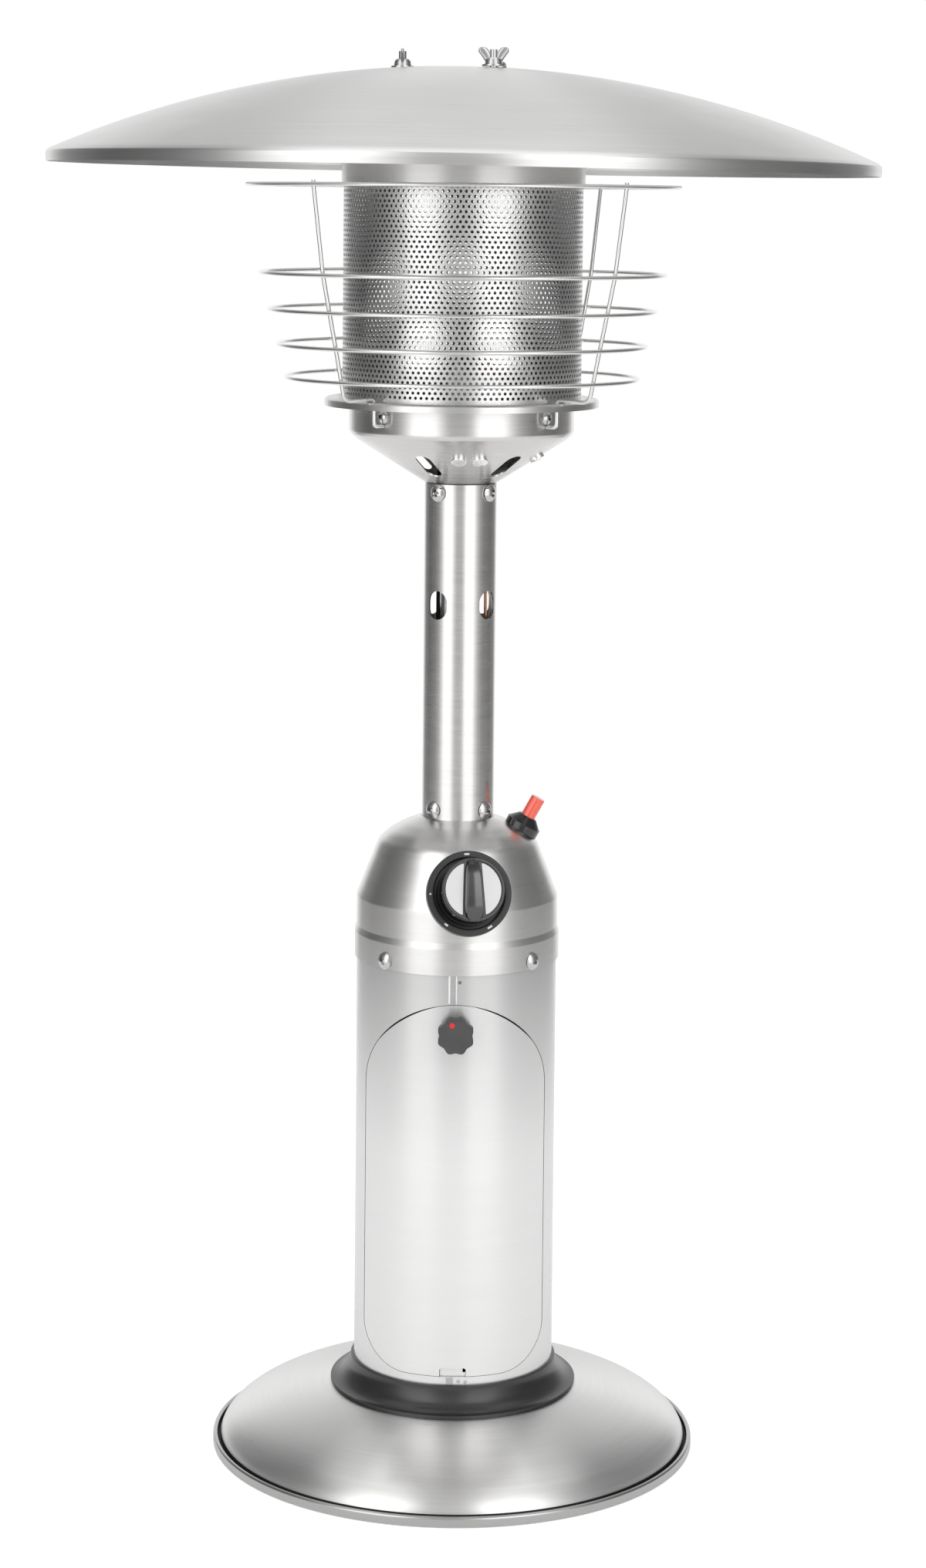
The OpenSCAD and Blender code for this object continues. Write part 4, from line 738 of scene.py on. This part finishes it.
def bezel_outline(a):
    foot, inner_foot = (on_dome(r, a, at_knob) + 0.1 for r in (BEZEL_R, BEZEL_TUBE))
    return ([(BEZEL_TUBE, BEZEL_FOOT), (BEZEL_TUBE, min(inner_foot, 1.2)), (BEZEL_R, foot)]
            + fillet([(BEZEL_R, foot), (BEZEL_R, BEZEL_FACE), (25.5, BEZEL_FACE)], 0.8, 5)[1:]
            + fillet([(24.6, BEZEL_FACE), (BEZEL_BORE + 0.7, BEZEL_FACE), (BEZEL_BORE, BEZEL_FACE - 0.7),
                      (BEZEL_BORE, -3.0)], 0.35, 3)
            + [(BEZEL_BORE, -5.0), (3.4, -5.0), (3.4, BEZEL_FOOT)])


dress(moved(ring_loft("bezel", bezel_outline, 96), at_knob), "heater", "black_plastic", BEZEL, "knob_bezel")
for i, (mark_angle, mark_long) in enumerate(((180, 0), (92, 1.1), (232, 0.7), (300, 1.1))):
    outline = [(x, y + math.copysign(mark_long, y)) for x, y in circle(0.62, 20)]
    dot = prism("dial_mark_%d" % (i + 1), outline, BEZEL_FACE - 0.15, BEZEL_FACE + 0.06)
    moved(dot, at_knob @ turn(mark_angle, "Z") @ place((BEZEL_R + BEZEL_BORE) / 2 + 0.1, 0, 0))
    dress(dot, "heater", "black_plastic", MARKS)


def grip_half(y):
    """Half the grip's width, which narrows towards the end that points at the dial."""
    return (GRIP_WIDE + (GRIP_NARROW - GRIP_WIDE) * (y / GRIP_L + 1) / 2) / 2


insert_edge, rim_z = INSERT_R + 0.35, KNOB_FACE + 0.6
knob_outline = ([(STEM_R, -1), (KNOB_R - 0.6, -1)]
                + fillet([(KNOB_R - 0.6, -1), (KNOB_R, -0.4), (KNOB_R, rim_z), (insert_edge, rim_z),
                          (insert_edge, KNOB_FACE)], [0, 0.3, 0.7, 0.4, 0], 5)[1:] + [(STEM_R, KNOB_FACE)])
knob_body = lathe("knob_body", knob_outline, 96)
grip_loops, foot = [], KNOB_FACE - 0.5
for t in (-1 + 2 * k / 28 for k in range(29)):
    y = GRIP_L * math.sin(t * PI / 2)
    half = grip_half(y) * min(1, math.sqrt(max(1 - (abs(y) / (KNOB_R + 0.2)) ** 6, 0.25)))
    crown = GRIP_TOP - 0.6 - 7.2 * abs(y / GRIP_L) ** 3
    corners = [(-half, foot), (-half + 1.2, crown), (0, crown + 0.5), (half - 1.2, crown), (half, foot)]
    grip_loops.append([(x, y, w) for x, w in fillet(corners, [0, 1.0, 12, 1.0, 0], 5)])
grip = loft("grip", grip_loops, 50)
dress(moved(knob_body, at_knob), "knob", "black_plastic", GLOSS, "control_knob")
dress(moved(grip, at_knob), "knob", "black_plastic", KNOB_CHROME)

plates, plate_gap = [], 0.35
for side in (-1, 1):
    rim = [(INSERT_R * math.cos(a), INSERT_R * math.sin(a))
           for a in (-PI / 2 + PI * k / 32 for k in range(33))]
    outline = [(x, y) for x, y in rim if x > grip_half(y) + plate_gap]
    outline += [(grip_half(y) + plate_gap, y) for y in np.linspace(outline[-1][1], outline[0][1], 9)]
    outline = [(side * x, y) for x, y in outline][::side]
    plates.append(prism("plate", outline, KNOB_FACE + 0.01, KNOB_FACE + 0.55))
inserts = join("knob_plates", plates)
bevel = inserts.modifiers.new("edge", "BEVEL")
bevel.width, bevel.segments, bevel.limit_method = 0.25 * MM, 2, "ANGLE"
dress(moved(inserts, at_knob), "knob", "knob_metal", PLATES, "knob_inserts")


def boss_outline(a):
    foot = min(on_dome(BOSS_R, a, at_igniter) + 0.1, 1.5)
    return ([(BOSS_BORE, -12.0), (7.5, -12.0), (7.5, foot - 0.3), (BOSS_R - 0.6, foot)]
            + fillet([(BOSS_R, foot), (BOSS_R, 3.9), (BOSS_R - 0.7, 4.3), (5.9, BOSS_TOP),
                      (BOSS_BORE, BOSS_TOP)], [0, 0.15, 0.25, 0.3, 0], 5) + [(BOSS_BORE, 4.0)])


boss = ring_loft("igniter_boss", boss_outline, 72)
dress(moved(boss, at_igniter), "heater", "black_plastic", GLOSS, "igniter_bezel")
button = lathe("button", disc_outline(BUTTON_R, -20, BUTTON_TOP, 0.5), 64)
dress(moved(button, at_igniter), "igniter", "red_plastic", RED, "igniter_button")


# Screws

def domed_screw(radius, height, shank):
    """A pan-head screw with a cross recess, along +Z from its seat."""
    edge = height * 0.28
    ball = (radius ** 2 + (height - edge) ** 2) / (2 * (height - edge))
    arc = [(ball * math.sin(a), height - ball + ball * math.cos(a))
           for a in (math.asin(radius / ball) * k / 12 for k in range(13))][::-1]
    stem = [(0, -shank), (2, -shank), (2, 0), (radius - 0.25, 0), (radius, 0.3)]
    head = lathe("screw", stem + arc[:-1] + [(0, height)], 48, CRISP)
    wide, deep, long = 1.15, height * 0.65, radius * 0.56
    loops = [[(-x, -y, z), (x, -y, z), (x, y, z), (-x, y, z)]
             for x, y, z in ((long * 0.45, wide / 2, height - deep), (long, wide * 0.7, height + 1))]
    return cut(head, [moved(loft("cutter", loops), turn(spin, "Z")) for spin in (0, 90)], CRISP)


def ring_of_screws(name, node, places, radius, height, shank=4.0):
    """Screw heads at (azimuth, radius, height) places, each turned on a little further."""
    parts = [moved(domed_screw(radius, height, shank), seat(*spot) @ turn(23 + 37 * i, "Z"))
             for i, spot in enumerate(places)]
    piece = join(name, parts)
    piece.data.set_sharp_from_angle(angle=math.radians(CRISP))
    dress(piece, "heater", "bright_fastener", CHROME, node)


ring_of_screws("skirt_screw_heads", "skirt_screws",
               [(SKIRT_SCREWS_AT + q, SKIRT_R, SKIRT_Z + 5.3) for q in QUARTERS], SCREW_R, SCREW_H)
ring_of_screws("post_screw_heads", "post_screws",
               [(LOWER_SCREWS_AT + q, POST_R, DOME_TOP + 6) for q in QUARTERS]
               + [(UPPER_SCREWS_AT + q, POST_R, POST_TOP - 5.5) for q in QUARTERS], SCREW_R, SCREW_H, 3.0)
ring_of_screws("bowl_screw_heads", "bowl_screws",
               [(GUARD_AZIMUTH + q, BOWL_R, FLANGE_SEAT - 8.5) for q in QUARTERS],
               BOWL_SCREW_R, BOWL_SCREW_H)


# Post, bowl and emitter

post = wall("post_tube", POST_FOOT, POST_TOP, POST_R, POST_SHEET, 200, 30)
cut(post, [cutter(obround(AIR_SLOT_W, AIR_SLOT_H), 8, 40, seat(AIR_SLOTS_AT + q, 0, AIR_SLOT_Z))
           for q in QUARTERS])
turned_normals(post, [(POST_R, POST_FOOT), (POST_R, POST_TOP)])
dress(post, "heater", "housing_steel", POST, "post")

bowl_points = [(22.2, BOWL_Z - 18), (22.2, BOWL_Z), (POST_R + 0.1, BOWL_Z), (67.6, CONE_TOP - 3.2),
               (71.35, CONE_TOP), (BOWL_R, CONE_TOP + 2.5), (BOWL_R, FLANGE_SEAT)]
bowl_line = fillet(bowl_points, [0, 0, 0, 6, 4, 4, 0], 7)
bowl = lathe("bowl", sheet(bowl_line), 300)
cut(bowl, [cutter(obround(BOWL_SLOT_W, BOWL_SLOT_H), BOWL_Z - 3, CONE_TOP, seat(azimuth, BOWL_SLOT_R, 0, 0))
           for azimuth in BOWL_SLOTS_AT]
    + [cutter(circle(WIRE_HOLE_R, 20), 60, OUTSIDE, seat(GUARD_AZIMUTH + q, 0, HOOK_Z)) for q in QUARTERS])
turned_normals(bowl, bowl_line)
dress(bowl, "heater", "spun_steel", BOWL, "burner_bowl")

cone_tilt = math.degrees(math.atan2(CONE_TOP - BOWL_Z, BOWL_R - POST_R))
cone_screw_z = BOWL_Z + (CONE_SCREW_R - POST_R) * math.tan(math.radians(cone_tilt))
cone_heads = []
for i, azimuth in enumerate(CONE_SCREWS_AT):
    head = lathe("slotted", disc_outline(CONE_HEAD_R, -5, 2.0, 0.9), 48)
    cut(head, [cutter([(-6, -0.6), (6, -0.6), (6, 0.6), (-6, 0.6)], 1.0, 4.0, turn(35 + 80 * i, "Z"))])
    cone_heads.append(moved(head, seat(azimuth, CONE_SCREW_R, cone_screw_z, 180 - cone_tilt)))
dress(join("cone_screw_heads", cone_heads), "heater", "bright_fastener", CONE_HEADS, "cone_screws")

flange_line = fillet([(FLANGE_R, FLANGE_Z - 5), (FLANGE_R, FLANGE_Z - 1), (FLANGE_R - 1.5, FLANGE_Z),
                      (43.0, FLANGE_Z)], [0, 1.5, 1.5, 0], 5)
flange = lathe("flange", sheet(flange_line, FLANGE_SHEET), 240)
cut(flange, [cutter(circle(WIRE_HOLE_R, 20), 670, 690, seat(GUARD_AZIMUTH + q, DROP_R, 0, 0))
             for q in QUARTERS])
turned_normals(flange, flange_line)
dress(flange, "heater", "spun_steel", SPUN, "emitter_flange")


def perforated_drum():
    """A thin drum with round holes in staggered rows: each hole's cell is six-sided."""
    length = 2 * PI * SCREEN_R
    pitch = length / HOLES_ROUND
    row_step = (HOLES_HIGH - HOLES_LOW) / (HOLE_ROWS - 1)
    corner_up = row_step * 2 / 3
    flat, faces, holes, index = [], [], [], {}

    def vertex(u, z):
        key = (round(u * 12 / pitch) % (12 * HOLES_ROUND), round(z * 50))
        if key not in index:
            index[key] = len(flat)
            flat.append((u, z))
        return index[key]

    def cells(row):
        return [((column + 0.5 * (row % 2)) * pitch, HOLES_LOW + row * row_step)
                for column in range(HOLES_ROUND)]

    rim_unit = [(0.5, 0), (0.5, 0.5), (0.25, 0.75), (0, 1), (-0.25, 0.75), (-0.5, 0.5),
                (-0.5, 0), (-0.5, -0.5), (-0.25, -0.75), (0, -1), (0.25, -0.75), (0.5, -0.5)]
    for u, z in (cell for row in range(HOLE_ROWS) for cell in cells(row)):
        rim = [vertex(u + a * pitch, z + b * corner_up) for a, b in rim_unit]
        angles = [math.atan2(b * corner_up, a * pitch) for a, b in rim_unit]
        hole = list(range(len(flat), len(flat) + 12))
        flat += [(u + HOLE_R * math.cos(angle), z + HOLE_R * math.sin(angle)) for angle in angles]
        faces += [[rim[k], rim[(k + 1) % 12], hole[(k + 1) % 12], hole[k]] for k in range(12)]
        holes.append(hole)
    for row, sign, end in ((0, -1, FLANGE_Z), (HOLE_ROWS - 1, 1, SCREEN_TOP)):
        for u, z in cells(row):
            line = [(-0.5, 0.5), (-0.25, 0.75), (0, 1), (0.25, 0.75), (0.5, 0.5)]
            near = [vertex(u + a * pitch, z + sign * b * corner_up) for a, b in line]
            far = [vertex(u + a * pitch, end) for a, _ in line]
            faces += [[near[k], near[k + 1], far[k + 1], far[k]] for k in range(4)]
    n = len(flat)
    points = [(r * math.sin(u / SCREEN_R), -r * math.cos(u / SCREEN_R), z)
              for r in (SCREEN_R, SCREEN_R - SCREEN_SHEET) for u, z in flat]
    skin = faces + [[n + i for i in f] for f in faces]
    ends = [[i for i in range(n) if abs(flat[i][1] - end) < 1e-6] for end in (FLANGE_Z, SCREEN_TOP)]
    for edge in holes + [sorted(end, key=lambda i: flat[i][0] % length) for end in ends]:
        skin += [[a, b, n + b, n + a] for a, b in zip(edge, edge[1:] + edge[:1])]
    return add_mesh("screen_drum", points, skin)


drum = dress(perforated_drum(), "heater", "perforated_steel", SCREEN, "emitter_screen")
# The drum's inner faces are painted dark as shade, seen through the holes
drum.data.materials.append(SCREEN_INSIDE_SHADE)
for face in drum.data.polygons:
    centre = face.center / MM
    outward = (face.normal.x * centre.x + face.normal.y * centre.y) / math.hypot(centre.x, centre.y)
    face.material_index = 1 if outward < -0.7 else 0
cap_line = fillet([(CAP_R, CAP_TOP - 27), (CAP_R, CAP_TOP), (0, CAP_TOP)], [0, 1.6, 0], 6)
dress(lathe("cap", sheet(cap_line, CAP_SHEET), 240), "heater", "spun_steel", SPUN, "emitter_cap")


# Reflector

sphere_z = CROWN_Z - SPHERE_R
edge_z = sphere_z + math.sqrt(SPHERE_R ** 2 - REFLECTOR_R ** 2)


def sphere_point(r):
    return (r, sphere_z + math.sqrt(SPHERE_R ** 2 - r * r))


reflector_line = fillet([(REFLECTOR_R - 0.2, edge_z - 7.5), (REFLECTOR_R + 0.3, edge_z - 3.6),
                         (REFLECTOR_R - 0.1, edge_z - 0.6), sphere_point(REFLECTOR_R - 3.0)],
                        [0, 4, 1.6, 0], 6)
reflector_line += [sphere_point(r) for r in np.linspace(REFLECTOR_R - 6, 0, 70)]
reflector = lathe("reflector_dish", sheet(reflector_line), 360)
moved(reflector, place(0, 0, edge_z) @ turn(REFLECTOR_LEAN, "Y") @ place(0, 0, -edge_z))
dress(reflector, "heater", "spun_steel", REFLECTOR, "reflector")


def wing_nut(number, azimuth, spin):
    """Turned hub with two swept-up wings."""
    hub = fillet([(HUB_R, 0), (5.1, 3.2), (4.0, HUB_H), (HUB_BORE, HUB_H)], [0, 1.0, 0.6, 0], 4)
    parts = [lathe("hub", [(HUB_BORE, 0), (HUB_R, 0)] + hub[1:], 40)]
    start, end = Vector((2.6, 1.2)), Vector((8.6, 10.6))
    along = (end - start).normalized()
    across = Vector((along.y, -along.x))
    for side in (-1, 1):
        loops = []
        for t in (k / 20 for k in range(21)):
            wide = 2.1 + 0.7 * math.sin(PI / 2 * min(1, t / 0.6))
            if t > 0.72:
                wide *= math.sqrt(max(1 - ((t - 0.72) / 0.28) ** 2, 0.03))
            centre = start + (end - start) * t - across * 0.8 * math.sin(PI * t)
            half = 1.25 - 0.35 * t
            loops.append([(side * (centre.x + wide * math.sin(a) * across.x), half * math.cos(a),
                           centre.y + wide * math.sin(a) * across.y)
                          for a in (2 * PI * j / 16 for j in range(16))])
        parts.append(loft("wing", loops, ROUND))
    node = "wing_nut_%d" % number
    nut = join("wing_nut_body_%d" % number, parts)
    moved(nut, seat(azimuth, STUD_R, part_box(node)[0].z / MM, 0) @ turn(spin, "Z"))
    dress(nut, "wing_nut_" + "abc"[number - 1], "bright_fastener", WING, node)


for i, spin in enumerate((-27, -57, 3)):
    wing_nut(i + 1, STUDS_AT + 120 * i, spin)


# Guard

for i, (ring_r, ring_z) in enumerate(GUARD_RINGS):
    ring = sweep("ring_%d" % (i + 1), [(ring_r * math.sin(a), -ring_r * math.cos(a), ring_z)
                                       for a in (2 * PI * k / 240 for k in range(240))], closed=True)
    dress(ring, "heater", "guard_wire", WIRE, "guard_ring_%d" % (i + 1))

(upper_r, upper_z), (lower_r, lower_z) = GUARD_RINGS[-2:]
foot_z = FLANGE_Z + 0.2 + WIRE_R
foot_r = lower_r - UPRIGHT_IN - (lower_z - foot_z) * (upper_r - lower_r) / (upper_z - lower_z)
foot, above = (0, -foot_r, foot_z), (0, -DROP_R, foot_z)
below, hook = (0, -DROP_R, HOOK_Z), (0, -HOOK_IN, HOOK_Z)
route = [(0, -GUARD_RINGS[0][0] + UPRIGHT_IN, 823.8)] + [(0, -r + UPRIGHT_IN, z) for r, z in GUARD_RINGS]
route += bend(route[-1], foot, above, 6) + bend(foot, above, below, 3.6)
route += bend(above, below, hook, 3.6) + [hook]
wires = [moved(sweep("wire", route), turn(GUARD_AZIMUTH + q, "Z")) for q in QUARTERS]
dress(join("uprights", wires), "heater", "guard_wire", WIRE, "guard_wires")


# Floor, light and camera

def ramp(tree, value, span, stops):
    """A line through (degrees, level) stops, for a value that runs from 0 to 1 over the span of degrees."""
    node = add_node(tree, "ValToRGB", {0: value})
    node.color_ramp.interpolation = "LINEAR"
    points = node.color_ramp.elements
    while len(points) > 1:
        points.remove(points[-1])
    for i, (degrees, level) in enumerate(stops):
        where = degrees / span + 0.5
        point = points.new(where) if i else points[0]
        point.position, point.color = where, (level, level, level, 1)
    return node.outputs[0]


def studio():
    """A light tent: two tall soft panels in front, dark sides, a bright back; plain white to the camera."""
    world = bpy.data.worlds.new("studio")
    scene.world = world
    world.use_nodes = True
    tree = world.node_tree
    tree.nodes.clear()
    direction = add_node(tree, "TexCoord").outputs["Generated"]
    x, y, z = add_node(tree, "SeparateXYZ", {0: direction}).outputs
    azimuth = maths(tree, "ARCTAN2", x, times(tree, y, -1.0))
    azimuth = plus(tree, maths(tree, "DIVIDE", azimuth, 2 * PI), 0.5)
    height = plus(tree, maths(tree, "DIVIDE", maths(tree, "ARCSINE", z), PI), 0.5)
    around = ramp(tree, azimuth, 360, [
        (-180, 1.0), (-158, 1.0), (-140, 0.3), (-112, 0.12), (-85, 0.19), (-70, 0.38), (-60, 0.8),
        (-50, 1.6), (-27, 1.6), (-20, 1.0), (-12, 0.53), (4, 0.53), (11, 0.75), (18, 1.6), (44, 1.6),
        (53, 0.9), (64, 0.45), (80, 0.22), (112, 0.17), (140, 0.3), (158, 1.0), (180, 1.0)])
    crown = ramp(tree, azimuth, 360, [
        (-180, 0.45), (-150, 0.5), (-115, 0.95), (-75, 0.8), (-35, 0.5), (35, 0.5), (75, 0.8),
        (115, 0.95), (150, 0.5), (180, 0.45)])
    behind = ramp(tree, azimuth, 360, [
        (-180, 1.0), (-150, 1.0), (-120, 0.0), (120, 0.0), (150, 1.0), (180, 1.0)])
    lift = ramp(tree, height, 180, [(-90, 1.0), (50, 1.0), (60, 0.0), (90, 0.0)])
    front = ramp(tree, height, 180, [(-90, 1.0), (8, 1.0), (30, 1.3), (90, 1.3)])
    back = ramp(tree, height, 180, [(-90, 1.0), (12, 1.0), (30, 0.84), (48, 0.7), (90, 0.7)])
    walls = blend(tree, 1.0, around, blend(tree, behind, front, back), "MULTIPLY")
    room = add_node(tree, "Background", {"Color": blend(tree, lift, crown, walls)}).outputs[0]
    white = add_node(tree, "Background", {"Color": (1, 1, 1, 1), "Strength": 1.0}).outputs[0]
    camera_ray = add_node(tree, "LightPath").outputs["Is Camera Ray"]
    either = add_node(tree, "MixShader", {0: camera_ray, 1: room, 2: white}).outputs[0]
    add_node(tree, "OutputWorld", {"Surface": either})


studio()

floor_material, floor_tree, floor_shader = new_material("white_floor")
seen = add_node(floor_tree, "LightPath").outputs["Is Camera Ray"]
spot, _ = object_place(floor_tree)
reach = add_node(floor_tree, "VectorMath", {0: spot}, operation="LENGTH").outputs["Value"]
fill(floor_tree, floor_shader, {
    "Base Color": (0.85, 0.85, 0.85, 1), "Roughness": 0.8, "Specular IOR Level": 0.1,
    "Emission Color": (1, 1, 1, 1),
    "Emission Strength": plus(floor_tree, times(floor_tree, seen, 0.4), 0.22),
    "Alpha": map_range(floor_tree, reach, 0.9, 1.95, 1.0, 0.0, "SMOOTHSTEP")})
floor = add_mesh("floor", [(x, y, 0) for x, y in circle(2000, 96)], [list(range(96))])
floor.data.materials.append(floor_material)

light = bpy.data.lights.new("top_light", "AREA")
light.shape, light.size, light.size_y, light.energy = "RECTANGLE", 2.0, 2.0, 12
lamp = bpy.data.objects.new("top_light", light)
scene.collection.objects.link(lamp)
lamp.location = (0.0, 0.2, 3.2)
lamp.rotation_euler = (Vector((0, 0, 0)) - lamp.location).to_track_quat("-Z", "Y").to_euler()

camera_data = bpy.data.cameras.new("camera")
camera_data.lens, camera_data.sensor_width = 77.746, 36.0
camera_data.shift_x, camera_data.shift_y = 0.00095, -0.235
camera_data.clip_end = 100.0
camera = bpy.data.objects.new("camera", camera_data)
scene.collection.objects.link(camera)
camera.matrix_world = Matrix.Translation((0, -2.18294, 0.81121)) @ turn(90 - 3.614, "X") @ turn(0.540, "Z")
scene.camera = camera
